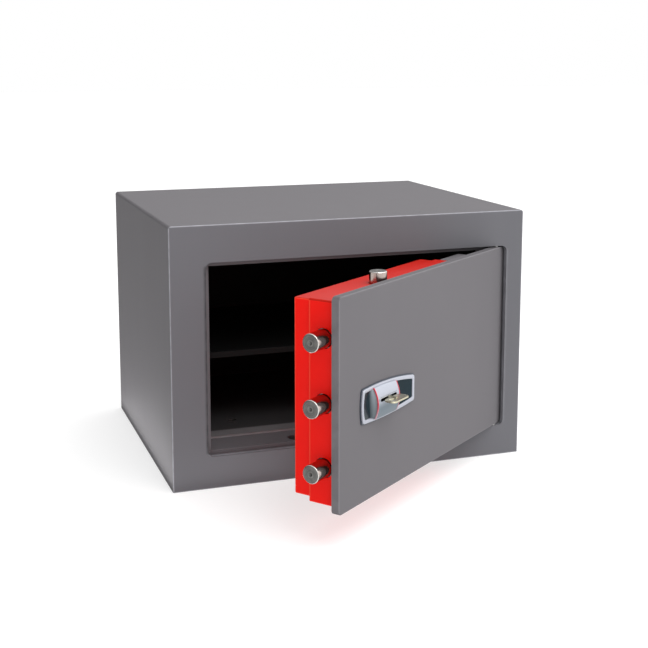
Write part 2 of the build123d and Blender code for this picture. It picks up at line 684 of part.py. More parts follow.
def lock_bezel():
    """The bright frame, narrower where the keyhole barrel lies over it."""
    y0, y1 = FRONT - GASKET_T - BEZEL_T, FRONT - GASKET_T
    solid = slab(lock_outline(GASKET_W), y0, y1)
    solid = chamfer(solid.faces().sort_by(Axis.Y)[0].edges(), BEZEL_EDGE)
    inside = lock_outline(LOCK_INNER) + (lock_outline(LOCK_SEAM) & barrel_gap())
    return ajar(solid - slab(inside, y0 - CUT_OVER, y1 + CUT_OVER))


def lock_panel():
    """The dark sunk panel, with a clear middle where the keyhole barrel stands."""
    outer = slab(lock_outline(LOCK_SEAM) - barrel_gap(), FRONT - GASKET_T, FRONT)
    raised = slab(lock_outline(LOCK_INNER) - barrel_gap(), FRONT - GASKET_T - PANEL_T, FRONT - GASKET_T)
    return ajar(outer + raised)


def barrel_gap():
    half = BARREL_W / 2 + RING_W
    return Pos(KEY_XR, KEY_ZR) * Rectangle(2 * half, 2 * LOCK_LEFT_H)


def barrel_form(x0, x1, proud):
    """A level half-round band across the plate, cut to the middle of the bezel's width."""
    foot = FRONT - GASKET_T - BEZEL_T - BARREL_RISE - proud
    middle = MID_Z - (LOCK_LEFT_DROP + LOCK_RIGHT_DROP) / 2
    low, high = (FRONT, middle - BARREL_H / 2), (FRONT, middle + BARREL_H / 2)
    foot_low, foot_high = (foot, low[1]), (foot, high[1])
    section = make_face(Curve() + [ThreePointArc(foot_low, (foot - BARREL_BULGE, middle), foot_high),
                                   Line(foot_high, high), Line(high, low), Line(low, foot_low)])
    band = extrude(Plane(origin=(x0, 0, 0), x_dir=(0, 1, 0), z_dir=(1, 0, 0)) * section, x1 - x0)
    return band & slab(lock_outline(LOCK_SEAM), PLATE_CLEAR, FRONT)


def keyhole_barrel():
    band = barrel_form(KEY_XR - BARREL_W / 2, KEY_XR + BARREL_W / 2, 0)
    return ajar(band - slab(key_slot(KEY_SLOT_W), PLATE_CLEAR, FRONT))


def trim_rings():
    left, right = KEY_XR - BARREL_W / 2, KEY_XR + BARREL_W / 2
    return [ajar(barrel_form(left - RING_W, left, RING_PROUD)),
            ajar(barrel_form(right, right + RING_W, RING_PROUD))]


NODES = {
    "outer_shell": outer_shell, "base_plate": base_plate, "back_panel": back_panel,
    "face_frame": face_frame, "door_jamb": door_jamb, "inner_liner": inner_liner,
    "insulation_top": insulation_top, "insulation_bottom": insulation_bottom,
    "insulation_left": insulation_left, "insulation_right": insulation_right,
    "insulation_back": insulation_back, "bolt_sockets": bolt_sockets,
    "hinge_blocks": hinge_blocks, "hinge_washer": hinge_washer,
    "anchor_sleeves": anchor_sleeves, "shelf_rails": shelf_rails, "shelf_plate": shelf_plate,
    "door_plate": door_plate, "hinge_pins": hinge_pins, "lock_cover": lock_cover,
    "side_cover": side_cover, "cover_posts": cover_posts, "cover_screws": cover_screws,
    "door_board": door_board, "side_bolt_guide": side_bolt_guide,
    "top_bolt_guide": lambda: vertical_guide(1), "bottom_bolt_guide": lambda: vertical_guide(-1),
    "lower_side_bolt": lambda: side_bolt(BOLT_Z[0]), "middle_side_bolt": lambda: side_bolt(BOLT_Z[1]),
    "upper_side_bolt": lambda: side_bolt(BOLT_Z[2]), "bolt_bar": bolt_bar, "cam_plate": cam_plate,
    "lock_tongue": lock_tongue, "top_bolt": lambda: vertical_bolt(1),
    "bottom_bolt": lambda: vertical_bolt(-1), "top_link": lambda: bolt_link(1),
    "bottom_link": lambda: bolt_link(-1), "lock_case": lock_case, "lock_cam": lock_cam, "key": key,
    "lock_gasket": lock_gasket, "lock_bezel": lock_bezel, "lock_panel": lock_panel,
    "keyhole_barrel": keyhole_barrel, "trim_rings": trim_rings,
}

os.makedirs("parts", exist_ok=True)
for name, build in NODES.items():
    piece = build()
    solids = piece if isinstance(piece, list) else [piece]
    export_step(Compound(children=[s for shape in solids for s in shape.solids()]), f"parts/{name}.step")
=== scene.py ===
"""Looks of a small fire-resistant office safe whose door stands ajar.

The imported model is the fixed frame: it gives every place and size. This script gives each of its
pieces a procedural finish, and adds the turned, pressed and lacquered pieces that need a finer
surface than the frame holds. All lengths are in metres.
"""

from __future__ import annotations

import json
import logging
import math
from abc import ABC, abstractmethod
from dataclasses import dataclass
from enum import Enum
from typing import Mapping, Sequence

import bmesh
import bpy
import numpy as np
from bpy.types import ID, Material, Mesh, Node, NodeSocket, NodeTree, Object
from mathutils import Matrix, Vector

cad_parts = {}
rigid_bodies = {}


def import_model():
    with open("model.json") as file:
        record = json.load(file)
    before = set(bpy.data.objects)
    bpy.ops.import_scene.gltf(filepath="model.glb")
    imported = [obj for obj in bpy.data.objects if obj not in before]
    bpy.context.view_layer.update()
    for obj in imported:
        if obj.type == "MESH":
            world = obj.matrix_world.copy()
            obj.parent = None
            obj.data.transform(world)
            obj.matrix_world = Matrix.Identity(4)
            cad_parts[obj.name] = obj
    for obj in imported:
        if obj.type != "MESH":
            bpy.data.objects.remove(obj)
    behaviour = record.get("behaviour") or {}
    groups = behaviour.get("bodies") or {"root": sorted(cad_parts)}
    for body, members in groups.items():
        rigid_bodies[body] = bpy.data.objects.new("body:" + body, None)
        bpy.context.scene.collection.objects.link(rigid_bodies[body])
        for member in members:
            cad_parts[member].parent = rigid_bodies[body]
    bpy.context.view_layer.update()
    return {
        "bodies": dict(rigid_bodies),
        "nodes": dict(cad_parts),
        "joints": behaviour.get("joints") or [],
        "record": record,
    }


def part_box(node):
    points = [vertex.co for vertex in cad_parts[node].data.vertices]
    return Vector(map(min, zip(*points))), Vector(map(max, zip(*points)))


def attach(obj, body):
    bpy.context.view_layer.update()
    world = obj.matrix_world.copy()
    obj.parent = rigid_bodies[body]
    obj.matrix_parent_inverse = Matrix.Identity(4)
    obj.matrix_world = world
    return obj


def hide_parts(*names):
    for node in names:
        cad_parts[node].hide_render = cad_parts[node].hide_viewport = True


LOG = logging.getLogger("safe")
MM = 0.001
PHOTO_SIDE_PX = 648
SENSOR = 36.0
# Two of the frame's measures that differ by less than this are one.
NEAR = 0.1 * MM
# A point of a round piece is on its rim from this share of the radius outwards.
AT_RIM = 0.9

Colour = tuple[float, float, float]
Point = tuple[float, float, float]
Grid = np.ndarray


# Shader maths


class Signal:
    """A shader socket that carries a number; arithmetic on it adds Math nodes."""

    def __init__(self, shader: Shader, socket: NodeSocket) -> None:
        """Wrap one output socket of a shader."""
        self.shader = shader
        self.socket = socket

    def __add__(self, other: Value) -> Signal:
        """This plus another."""
        return self.shader.math("ADD", self, other)

    def __radd__(self, other: float) -> Signal:
        """A number plus this."""
        return self.shader.math("ADD", other, self)

    def __sub__(self, other: Value) -> Signal:
        """This less another."""
        return self.shader.math("SUBTRACT", self, other)

    def __rsub__(self, other: float) -> Signal:
        """A number less this."""
        return self.shader.math("SUBTRACT", other, self)

    def __mul__(self, other: Value) -> Signal:
        """This times another."""
        return self.shader.math("MULTIPLY", self, other)

    def __rmul__(self, other: float) -> Signal:
        """A number times this."""
        return self.shader.math("MULTIPLY", other, self)

    def __pow__(self, other: Value) -> Signal:
        """This to a power."""
        return self.shader.math("POWER", self, other)

    def __abs__(self) -> Signal:
        """The size of this, without its sign."""
        return self.shader.math("ABSOLUTE", self)

    def least(self, other: Value) -> Signal:
        """The smaller of the two."""
        return self.shader.math("MINIMUM", self, other)

    def most(self, other: Value) -> Signal:
        """The larger of the two."""
        return self.shader.math("MAXIMUM", self, other)

    def step(self, low: float, high: float) -> Signal:
        """A smooth step from 0 at low to 1 at high, or down where low is the larger."""
        node = self.shader.node("ShaderNodeMapRange", {"interpolation_type": "SMOOTHSTEP"},
                                {"Value": self, "From Min": low, "From Max": high})
        return Signal(self.shader, node.outputs["Result"])


Value = Signal | float


@dataclass(frozen=True)
class Noise:
    """A kind of noise: its cells to the metre, one number or one for each axis, and its octaves."""

    cells: float | Point
    octaves: float = 2.0


def waver(middle: Value, *layers: tuple[Signal, float]) -> Signal:
    """A value that wavers: the middle plus weight times (noise - 0.5) for each layer.

    Args:
        middle: The value without noise.
        *layers: Each noise with its weight.

    Returns:
        The value.
    """
    for noise, weight in layers:
        middle = middle + (noise - 0.5) * weight
    return middle


def tint(colour: Colour, factor: float) -> Colour:
    """A colour made lighter or darker by a factor."""
    return tuple(min(1.0, part * factor) for part in colour)


class Shader:
    """One material being built: a Principled surface and the nodes that feed it."""

    def __init__(self, name: str) -> None:
        """Start a material with nothing but a Principled surface.

        Args:
            name: Its name.
        """
        self.material = bpy.data.materials.new(name)
        self.material.use_nodes = True
        self.tree = self.material.node_tree
        self.surface = self.tree.nodes["Principled BSDF"]

    @classmethod
    def on(cls, tree: NodeTree) -> Shader:
        """The same node methods on a tree that is already there, such as the world's.

        Args:
            tree: The tree.

        Returns:
            The shader, without a material or a surface.
        """
        made = cls.__new__(cls)
        made.tree = tree
        return made

    def put(self, socket: NodeSocket, value: object) -> None:
        """Give a socket a link, a number, a vector or a colour.

        Args:
            socket: The input socket.
            value: A Signal, a socket or a plain value.
        """
        if isinstance(value, Signal):
            self.tree.links.new(value.socket, socket)
        elif isinstance(value, NodeSocket):
            self.tree.links.new(value, socket)
        elif socket.type == "RGBA" and len(value) == 3:
            socket.default_value = (*value, 1.0)
        else:
            socket.default_value = value

    def node(self, kind: str, settings: Mapping[str, object],
             inputs: Mapping[str | int, object]) -> Node:
        """Add any node: its settings first, then its sockets.

        Args:
            kind: The node's type.
            settings: Attributes to set.
            inputs: Values or links, by socket name or number.

        Returns:
            The node.
        """
        made = self.tree.nodes.new(kind)
        for name, value in settings.items():
            setattr(made, name, value)
        for name, value in inputs.items():
            self.put(made.inputs[name], value)
        return made

    def math(self, operation: str, *values: Value) -> Signal:
        """A Math node on one or two values."""
        made = self.node("ShaderNodeMath", {"operation": operation}, dict(enumerate(values)))
        return Signal(self, made.outputs[0])

    def coordinates(self, kind: str = "Object") -> NodeSocket:
        """The object coordinates, which are the row's own frame in metres, or the UV map's."""
        return self.node("ShaderNodeTexCoord", {}, {}).outputs[kind]

    def axes(self, vector: NodeSocket) -> tuple[Signal, Signal, Signal]:
        """The three components of a vector."""
        made = self.node("ShaderNodeSeparateXYZ", {}, {"Vector": vector})
        return tuple(Signal(self, part) for part in made.outputs)

    def placed(self, origin: Point, turn: float) -> tuple[Signal, Signal, Signal]:
        """The object coordinates seen from another origin, on axes turned about the vertical.

        Args:
            origin: The point that becomes zero.
            turn: How far the new axes are turned, in radians.

        Returns:
            The three components.
        """
        where = {"Vector": self.coordinates(), "Location": origin, "Rotation": (0.0, 0.0, turn)}
        made = self.node("ShaderNodeMapping", {"vector_type": "TEXTURE"}, where)
        return self.axes(made.outputs["Vector"])

    def noise(self, kind: Noise, where: NodeSocket | None = None) -> Signal:
        """Smooth noise from 0 to 1.

        Args:
            kind: Its cells and octaves.
            where: The vector it is read at, or None for the object coordinates.

        Returns:
            The noise.
        """
        where, cells = where or self.coordinates(), kind.cells
        if isinstance(cells, tuple):
            where = self.node("ShaderNodeMapping", {}, {"Vector": where, "Scale": cells}).outputs["Vector"]
            cells = 1.0
        made = self.node("ShaderNodeTexNoise", {}, {"Vector": where, "Scale": cells, "Detail": kind.octaves})
        return Signal(self, made.outputs["Fac"])

    def blend(self, share: Value, first: object, second: object) -> NodeSocket:
        """A colour between two.

        Args:
            share: 0 gives the first colour, 1 the second.
            first: A colour or a colour socket.
            second: A colour or a colour socket.

        Returns:
            The colour socket.
        """
        made = self.node("ShaderNodeMix", {"data_type": "RGBA"}, {0: share, 6: first, 7: second})
        return made.outputs[2]

    def shades(self, share: Value, colour: Colour, low: float, high: float) -> NodeSocket:
        """A colour between two shades of itself, which are its factors low and high."""
        return self.blend(share, tint(colour, low), tint(colour, high))

    def bump(self, height: Value, depth: float) -> NodeSocket:
        """A normal from a height of 0 to 1 that stands for a depth in metres."""
        made = self.node("ShaderNodeBump", {}, {"Height": height, "Distance": depth, "Strength": 1.0})
        return made.outputs["Normal"]

    def finish(self, **sockets: object) -> Material:
        """Set the Principled surface's sockets; an underscore stands for a space.

        Args:
            **sockets: Values or links by socket name.

        Returns:
            The finished material.
        """
        for name, value in sockets.items():
            self.put(self.surface.inputs[name.replace("_", " ")], value)
        return self.material


# Finishes


class Finish(ABC):
    """How a surface looks. Each kind builds one material."""

    @abstractmethod
    def build(self, name: str) -> Material:
        """Make the material under a name."""


@dataclass(frozen=True)
class BoxEdges:
    """A box whose edges a finish paints lighter or darker: painted highlights, painted shade and dark joints.

    The edge band is where the middle one of the three distances to the box's faces is small, because
    at an edge two of the three are. The light is the band's own factor on the paint, or None for
    the finish's, and the spread is a factor on the width of the finish's band.
    """

    centre: Point
    half: Point
    turn: float = 0.0
    light: float | None = None
    spread: float = 1.0

    @classmethod
    def between(cls, near: Sequence[float], far: Sequence[float], door: DoorFrame | None = None,
                **looks: float) -> BoxEdges:
        """The box between two corners.

        Args:
            near: The low corner.
            far: The high corner.
            door: The door's frame, where the corners are in the closed door's coordinates.
            **looks: The light and the spread.

        Returns:
            The box.
        """
        near, far = np.asarray(near), np.asarray(far)
        middle, half = (near + far) / 2, (far - near) / 2
        if door is None:
            return cls(tuple(middle), tuple(half), **looks)
        return cls(tuple(door.ajar(middle)), tuple(half), door.turn, **looks)

    def beyond(self, shader: Shader) -> list[Signal]:
        """How far a point is past the faces on each axis, which is under zero inside."""
        return [abs(part) - half for part, half in zip(shader.placed(self.centre, self.turn), self.half)]

    def edge_band(self, shader: Shader, width: float) -> Signal:
        """1 on an edge, falling to 0 at the width of the band."""
        x, y, z = (abs(part) for part in self.beyond(shader))
        return x.least(y).most(x.most(y).least(z)).step(width * self.spread, 0.0)

    def inside(self, shader: Shader) -> Signal:
        """1 inside the box, falling to 0 just outside it."""
        x, y, z = self.beyond(shader)
        return x.most(y).most(z).step(2 * NEAR, 0.0)


@dataclass(frozen=True)
class EdgeLine(BoxEdges):
    """One straight edge: a box with no thickness, whose band is painted by the distance from it.

    The distance is the length of what each coordinate has beyond the box.
    """

    def edge_band(self, shader: Shader, width: float) -> Signal:
        """1 on the line, falling to 0 at the width of the band."""
        x, y, z = (part.most(0.0) for part in self.beyond(shader))
        return ((x * x + y * y + z * z) ** 0.5).step(width * self.spread, 0.0)


@dataclass(frozen=True)
class PowderCoat(Finish):
    """Baked powder paint: fine grain, a little orange peel, soft clouds, and painted highlights on its
    edges, with painted shade on some and dark joints on others.
    """

    colour: Colour
    roughness: float = 0.64
    gloss: float = 0.1
    contrast: float = 0.05
    relief: float = 0.06 * MM
    edges: tuple[BoxEdges, ...] = ()
    edge_light: float = 1.35
    edge_width: float = 2.2 * MM
    edge_patchiness: float = 0.3
    cloud: Noise = Noise(5.0, 3.0)
    streak: Noise = Noise((22.0, 22.0, 5.0))
    speck: Noise = Noise(1500.0, 1.0)
    peel: Noise = Noise(420.0)
    patch: Noise = Noise(60.0)

    def build(self, name: str) -> Material:
        """Make the painted material.

        Args:
            name: Its name.

        Returns:
            The material.
        """
        s = Shader(name)
        cloud, streak, speck, peel = map(s.noise, (self.cloud, self.streak, self.speck, self.peel))
        share = waver(0.5, (cloud, 1.1), (streak, 0.5), (speck, 0.7), (peel, 0.3))
        colour = s.shades(share, self.colour, 1.0 - self.contrast, 1.0 + self.contrast)
        # The edge bands: painted highlights where the factor is over 1, painted shade and dark joints where
        # it is under 1, made patchy by noise.
        for box in self.edges:
            patchy = 1.0 - self.edge_patchiness + self.edge_patchiness * s.noise(self.patch).step(0.35, 0.65)
            edge_band = box.edge_band(s, self.edge_width) * patchy
            colour = s.blend(edge_band, colour, tint(self.colour, box.light or self.edge_light))
        return s.finish(Base_Color=colour, Roughness=waver(self.roughness, (peel, 0.12), (cloud, 0.08)),
                        Specular_IOR_Level=self.gloss, Normal=s.bump(speck * 0.6 + peel * 0.4, self.relief))


@dataclass(frozen=True)
class Enamel(Finish):
    """Smooth coloured enamel with light orange peel and random dust, with painted highlights on its
    folds and painted shade darkening its top.
    """

    colour: Colour
    roughness: float = 0.42
    gloss: float = 0.1
    relief: float = 0.07 * MM
    dust: Colour = (0.45, 0.09, 0.07)
    dust_share: float = 0.06
    edges: tuple[BoxEdges, ...] = ()
    # Painted highlight colour along the edge bands.
    edge_highlight_colour: Colour = (0.84, 0.085, 0.04)
    edge_width: float = 2.2 * MM
    edge_share: float = 0.8
    # Painted shade: from just under this height the colour darkens towards the top.
    top: float | None = None
    top_shade: Colour = (0.46, 0.012, 0.006)
    top_fade: tuple[float, float] = (2.6 * MM, 1.9 * MM)
    wave: Noise = Noise(300.0)
    cloud: Noise = Noise(7.0, 3.0)
    dirt: Noise = Noise(35.0, 4.0)

    def build(self, name: str) -> Material:
        """Make the enamelled material.

        Args:
            name: Its name.

        Returns:
            The material.
        """
        s = Shader(name)
        cloud = s.noise(self.cloud)
        colour = s.shades(waver(0.5, (cloud, 1.2)), self.colour, 0.93, 1.05)
        colour = s.blend(s.noise(self.dirt).step(0.55, 0.85) * self.dust_share, colour, self.dust)
        # Painted highlights along the folds, then painted shade over the top.
        for box in self.edges:
            colour = s.blend(box.edge_band(s, self.edge_width) * self.edge_share, colour, self.edge_highlight_colour)
        if self.top is not None:
            over = s.axes(s.coordinates())[2].step(*(self.top - below for below in self.top_fade))
            colour = s.blend(over, colour, self.top_shade)
        return s.finish(Base_Color=colour, Roughness=waver(self.roughness, (cloud, 0.14)),
                        Specular_IOR_Level=self.gloss, Normal=s.bump(s.noise(self.wave), self.relief))


@dataclass(frozen=True)
class LinerPaint(Finish):
    """Liner paint, near-black on the walls as painted shade and grey on the floor, with dusty scuffs,
    and paler near the front of the floor as painted light.

    The floor is a step down at the height of its top, and the paler front a step in depth.
    """

    floor_top: float
    front: float
    # Painted shade: the walls are near-black because they stand in shade; the floor is grey.
    colour: Colour = (0.006, 0.006, 0.006)
    floor: Colour = (0.07, 0.068, 0.07)
    # Painted light: how much paler the floor is near the front.
    lit_front: float = 4.2
    fade: float = 4.0 * MM
    reach: tuple[float, float] = (26.0 * MM, 20.0 * MM)
    roughness: float = 0.6
    gloss: float = 0.1
    relief: float = 0.04 * MM
    grain: Noise = Noise(900.0)
    scuff: Noise = Noise(14.0, 4.0)

    def build(self, name: str) -> Material:
        """Make the liner's material.

        Args:
            name: Its name.

        Returns:
            The material.
        """
        s = Shader(name)
        grain, scuff = s.noise(self.grain), s.noise(self.scuff)
        _, y, z = s.axes(s.coordinates())
        # The floor's share against the near-black walls of painted shade, varied by scuffs.
        floor_and_scuffs = z.step(self.floor_top + self.fade, self.floor_top) * (0.75 + scuff * 0.4)
        # Painted light: the floor is paler near the front.
        lit_front_share = y.step(*(self.front + reach for reach in self.reach))
        floor = s.blend(lit_front_share, s.shades(grain, self.floor, 0.9, 1.1), tint(self.floor, self.lit_front))
        return s.finish(Base_Color=s.blend(floor_and_scuffs, self.colour, floor), Specular_IOR_Level=self.gloss,
                        Roughness=waver(self.roughness, (grain, 0.1)), Normal=s.bump(grain, self.relief))


class Lay(Enum):
    """Which way the marks of a metal finish run: long in the level, or even."""

    DRAWN = Noise((40.0, 40.0, 3500.0))
    ROLLED = Noise(700.0, 3.0)


@dataclass(frozen=True)
class Metal(Finish):
    """Bare or plated metal with the marks of how it was worked."""

    colour: Colour
    roughness: float
    lay: Lay
    marks: float = 0.02 * MM
    contrast: float = 0.12
    cloud: Noise = Noise(45.0, 3.0)

    def build(self, name: str) -> Material:
        """Make the metal.

        Args:
            name: Its name.

        Returns:
            The material.
        """
        s = Shader(name)
        lines, cloud = s.noise(self.lay.value), s.noise(self.cloud)
        share = waver(0.5, (lines, 1.2), (cloud, 0.8))
        return s.finish(Base_Color=s.shades(share, self.colour, 1.0 - self.contrast, 1.0 + self.contrast),
                        Metallic=1.0, Roughness=waver(self.roughness, (lines, 0.1), (cloud, 0.08)).most(0.03),
                        Normal=s.bump(lines, self.marks))


@dataclass(frozen=True)
class NickelBolt(Finish):
    """A nickel-plated bolt: a dull turned end face, a painted highlight on the rim and a polished shank
    whose darker, warmer colour is a painted reflection.

    The piece's UV map runs from the middle of the end face out over the rim and down the shank, so
    the first axis tells them apart. The turning marks are noise that is long round the bolt.
    """

    face_radius: float
    face: Colour = (0.115, 0.113, 0.108)
    # The bright rim is a painted highlight, and the darker, warmer shank a painted reflection.
    rim: Colour = (0.62, 0.61, 0.59)
    shank: Colour = (0.42, 0.35, 0.32)
    face_fade: tuple[float, float] = (0.1 * MM, 0.7 * MM)
    rim_highlight_fade: tuple[float, float] = (0.3 * MM, 0.7 * MM)
    marks: float = 0.018 * MM
    lines: Noise = Noise((2600.0, 6.0, 1.0))
    broad: Noise = Noise((420.0, 3.0, 1.0))
    cloud: Noise = Noise(160.0, 3.0)

    def build(self, name: str) -> Material:
        """Make the plated material.

        Args:
            name: Its name.

        Returns:
            The material.
        """
        s = Shader(name)
        uv = s.coordinates("UV")
        run = s.axes(uv)[0]
        lines, broad, cloud = s.noise(self.lines, uv), s.noise(self.broad, uv), s.noise(self.cloud)
        on_face = run.step(*(self.face_radius - inset for inset in self.face_fade))
        rim_highlight_share = 1.0 - abs(run - self.face_radius).step(*self.rim_highlight_fade)
        face = s.shades(waver(0.5, (broad, 1.6), (cloud, 0.9)), self.face, 0.5, 1.9)
        shank = s.shades(waver(0.5, (cloud, 0.8)), self.shank, 0.85, 1.15)
        # The rim's colour is a painted highlight over the face and the shank.
        colour = s.blend(rim_highlight_share * 0.9, s.blend(on_face, shank, face), self.rim)
        return s.finish(Base_Color=colour, Metallic=1.0, Normal=s.bump(lines * on_face, self.marks),
                        Roughness=waver(0.15 + on_face * 0.23, (lines, 0.08)).most(0.04))


@dataclass(frozen=True)
class Lacquer(Finish):
    """Dark lacquer with a painted reflection that pales it across the door.

    The share of the painted pale colour is a smooth step from start to stop along x - slope z in the
    plane of the door, to a soft power.
    """

    dark: Colour
    # Painted reflection: the pale colour that the lacquer fades to.
    reflected_pale: Colour
    origin: Point
    turn: float
    start: float
    stop: float
    slope: float
    power: float = 1.6
    roughness: float = 0.2
    coat: float = 0.25
    gloss: float = 0.15
    relief: float = 0.01 * MM
    cloud: Noise = Noise(260.0)

    def build(self, name: str) -> Material:
        """Make the lacquered material.

        Args:
            name: Its name.

        Returns:
            The material.
        """
        s = Shader(name)
        x, _, z = s.placed(self.origin, self.turn)
        # Painted reflection: the share of the pale colour across the door.
        fade = (x - z * self.slope).step(self.start, self.stop)
        cloud = s.noise(self.cloud)
        colour = s.blend(fade ** self.power, s.shades(cloud, self.dark, 0.85, 1.15), self.reflected_pale)
        return s.finish(Base_Color=colour, Roughness=self.roughness + cloud * 0.1, Coat_Weight=self.coat,
                        Coat_Roughness=0.1, Specular_IOR_Level=self.gloss, Normal=s.bump(cloud, self.relief))


@dataclass(frozen=True)
class Satin(Finish):
    """Satin metal with painted light: a bright, lit top that shades to a cool, shaded lower half, and
    painted shade inside its pocket.

    The shade is a smooth step in height, as far above the height as below it.
    """

    # Painted light and shade: the lit colour of the top and the shaded colour of the lower half.
    lit_top: Colour
    shaded_low: Colour
    height: float
    spread: float
    metallic: float = 0.55
    roughness: float = 0.3
    pocket: BoxEdges | None = None
    # Painted shade inside the pocket.
    hollow: Colour = (0.004, 0.004, 0.005)
    relief: float = 0.006 * MM
    lines: Noise = Noise((300.0, 300.0, 5000.0))

    def build(self, name: str) -> Material:
        """Make the satin material.

        Args:
            name: Its name.

        Returns:
            The material.
        """
        s = Shader(name)
        # Painted light and shade by height: lit above, shaded below.
        low = s.axes(s.coordinates())[2].step(self.height + self.spread, self.height - self.spread)
        lines = s.noise(self.lines)
        colour = s.blend(low, self.lit_top, self.shaded_low)
        colour = s.blend(waver(0.12, (lines, 0.25)), colour, tint(self.shaded_low, 0.8))
        # Painted shade inside the pocket.
        if self.pocket:
            colour = s.blend(self.pocket.inside(s), colour, self.hollow)
        return s.finish(Base_Color=colour, Metallic=self.metallic, Normal=s.bump(lines, self.relief),
                        Roughness=waver(self.roughness, (lines, 0.1)))


@dataclass(frozen=True)
class Mineral(Finish):
    """Cast or pressed fire fill: chalky, with pores and pale grains."""

    colour: Colour
    roughness: float = 0.9
    relief: float = 0.5 * MM
    pore_cells: float = 350.0
    grain: Noise = Noise(180.0, 5.0)

    def build(self, name: str) -> Material:
        """Make the mineral material.

        Args:
            name: Its name.

        Returns:
            The material.
        """
        s = Shader(name)
        grain = s.noise(self.grain)
        cells = s.node("ShaderNodeTexVoronoi", {}, {"Vector": s.coordinates(), "Scale": self.pore_cells})
        solid = Signal(s, cells.outputs["Distance"]).step(0.1, 0.3)
        colour = s.shades(grain, self.colour, 0.8, 1.12)
        colour = s.blend((1.0 - solid) * 0.6, colour, tint(self.colour, 0.45))
        return s.finish(Base_Color=colour, Roughness=waver(self.roughness, (grain, 0.1)),
                        Normal=s.bump(solid * 0.7 + grain * 0.3, self.relief))


@dataclass(frozen=True)
class Rubber(Finish):
    """Dark moulded rubber or soft plastic."""

    colour: Colour
    roughness: float
    relief: float = 0.03 * MM
    grain: Noise = Noise(2200.0)

    def build(self, name: str) -> Material:
        """Make the rubber material.

        Args:
            name: Its name.

        Returns:
            The material.
        """
        s = Shader(name)
        grain = s.noise(self.grain)
        return s.finish(Base_Color=s.shades(grain, self.colour, 0.75, 1.3), Normal=s.bump(grain, self.relief),
                        Roughness=waver(self.roughness, (grain, 0.2)))


# Surfaces


def linked(name: str, data: ID) -> Object:
    """Make an object of the scene.

    Args:
        name: Its name.
        data: The mesh, light or camera that it holds.

    Returns:
        The object.
    """
    made = bpy.data.objects.new(name, data)
    bpy.context.scene.collection.objects.link(made)
    return made


def gather(*parts: float | np.ndarray) -> np.ndarray:
    """Coordinates that are brought to one shape and put together as points."""
    return np.stack(np.broadcast_arrays(*parts), axis=-1)


def extent(points: np.ndarray) -> tuple[np.ndarray, np.ndarray]:
    """The lowest and the highest corner of some points."""
    return points.min(axis=0), points.max(axis=0)


def skin(name: str, grid: Grid, closed_across: bool = False, sharp: float = 35.0) -> Object:
    """Make an object from a grid of points whose rows are closed loops.

    Row i, column j is one point; column j is joined to column j + 1, and the last column to the
    first. With closed_across the last row is joined to the first as well; without it the first and
    last rows have to be points, or are filled flat. The map's first axis is the length run over
    the rows, its second the length round the columns.

    Args:
        name: The object's name.
        grid: Points, rows by columns by 3.
        closed_across: Whether the rows close into a ring too.
        sharp: The angle in degrees past which an edge is sharp.

    Returns:
        The object, at the origin, with outward faces.
    """
    rows, columns = grid.shape[:2]
    index = np.arange(rows * columns).reshape(rows, columns)
    upper, under = (index, np.roll(index, -1, axis=0)) if closed_across else (index[:-1], index[1:])
    quads = np.stack([upper, np.roll(upper, -1, axis=1), np.roll(under, -1, axis=1), under], axis=-1)
    faces = quads.reshape(-1, 4)
    mesh = bpy.data.meshes.new(name)
    mesh.from_pydata(grid.reshape(-1, 3).tolist(), [], faces.tolist())
    steps = np.linalg.norm(np.diff(grid, axis=0), axis=2).max(axis=1)
    round_steps = np.linalg.norm(np.roll(grid, -1, axis=1) - grid, axis=2).max(axis=0)
    run, around = (np.concatenate([[0.0], np.cumsum(lengths)]) for lengths in (steps, round_steps))
    row, column = np.divmod(faces, columns)
    wrapped = (column == 0) & (column.max(axis=1, keepdims=True) == columns - 1)
    across = np.where(wrapped, around[columns], around[column])
    layer = mesh.uv_layers.new(name="run")
    layer.data.foreach_set("uv", np.stack([run[row], across], axis=-1).ravel())
    return seal(name, mesh, sharp)


def seal(name: str, mesh: Mesh, sharp: float) -> Object:
    """Close a mesh and turn its faces outwards.

    Args:
        name: The object's name.
        mesh: The mesh.
        sharp: The angle in degrees past which an edge is sharp.

    Returns:
        The object that holds the mesh.
    """
    work = bmesh.new()
    work.from_mesh(mesh)
    bmesh.ops.remove_doubles(work, verts=work.verts, dist=1e-7)
    rims = [edge for edge in work.edges if edge.is_boundary]
    if rims:
        bmesh.ops.holes_fill(work, edges=rims, sides=0)
    bmesh.ops.recalc_face_normals(work, faces=work.faces)
    if work.calc_volume(signed=True) < 0:
        bmesh.ops.reverse_faces(work, faces=work.faces)
    work.to_mesh(mesh)
    work.free()
    mesh.shade_smooth()
    mesh.set_sharp_from_angle(angle=math.radians(sharp))
    return linked(name, mesh)


def joined(name: str, pieces: Sequence[Object]) -> Object:
    """Join several objects into one mesh under a name.

    Args:
        name: The name of the result.
        pieces: The objects, which are used up.

    Returns:
        The joined object.
    """
    work = bmesh.new()
    for piece in pieces:
        work.from_mesh(piece.data)
    whole, *rest = pieces
    work.to_mesh(whole.data)
    work.free()
    for piece in rest:
        bpy.data.objects.remove(piece)
    whole.name = whole.data.name = name
    return whole


def turned(along: np.ndarray, radius: np.ndarray, segments: int = 72) -> Grid:
    """A profile turned about the X axis: (a, r) goes to (a, r cos t, r sin t).

    Args:
        along: The profile's places on the axis.
        radius: The profile's radii.
        segments: Points round the axis.

    Returns:
        The grid, one row for each point of the profile.
    """
    t = np.linspace(0.0, 2.0 * math.pi, segments, endpoint=False)
    r = radius[:, None]
    return gather(along[:, None], r * np.cos(t), r * np.sin(t))


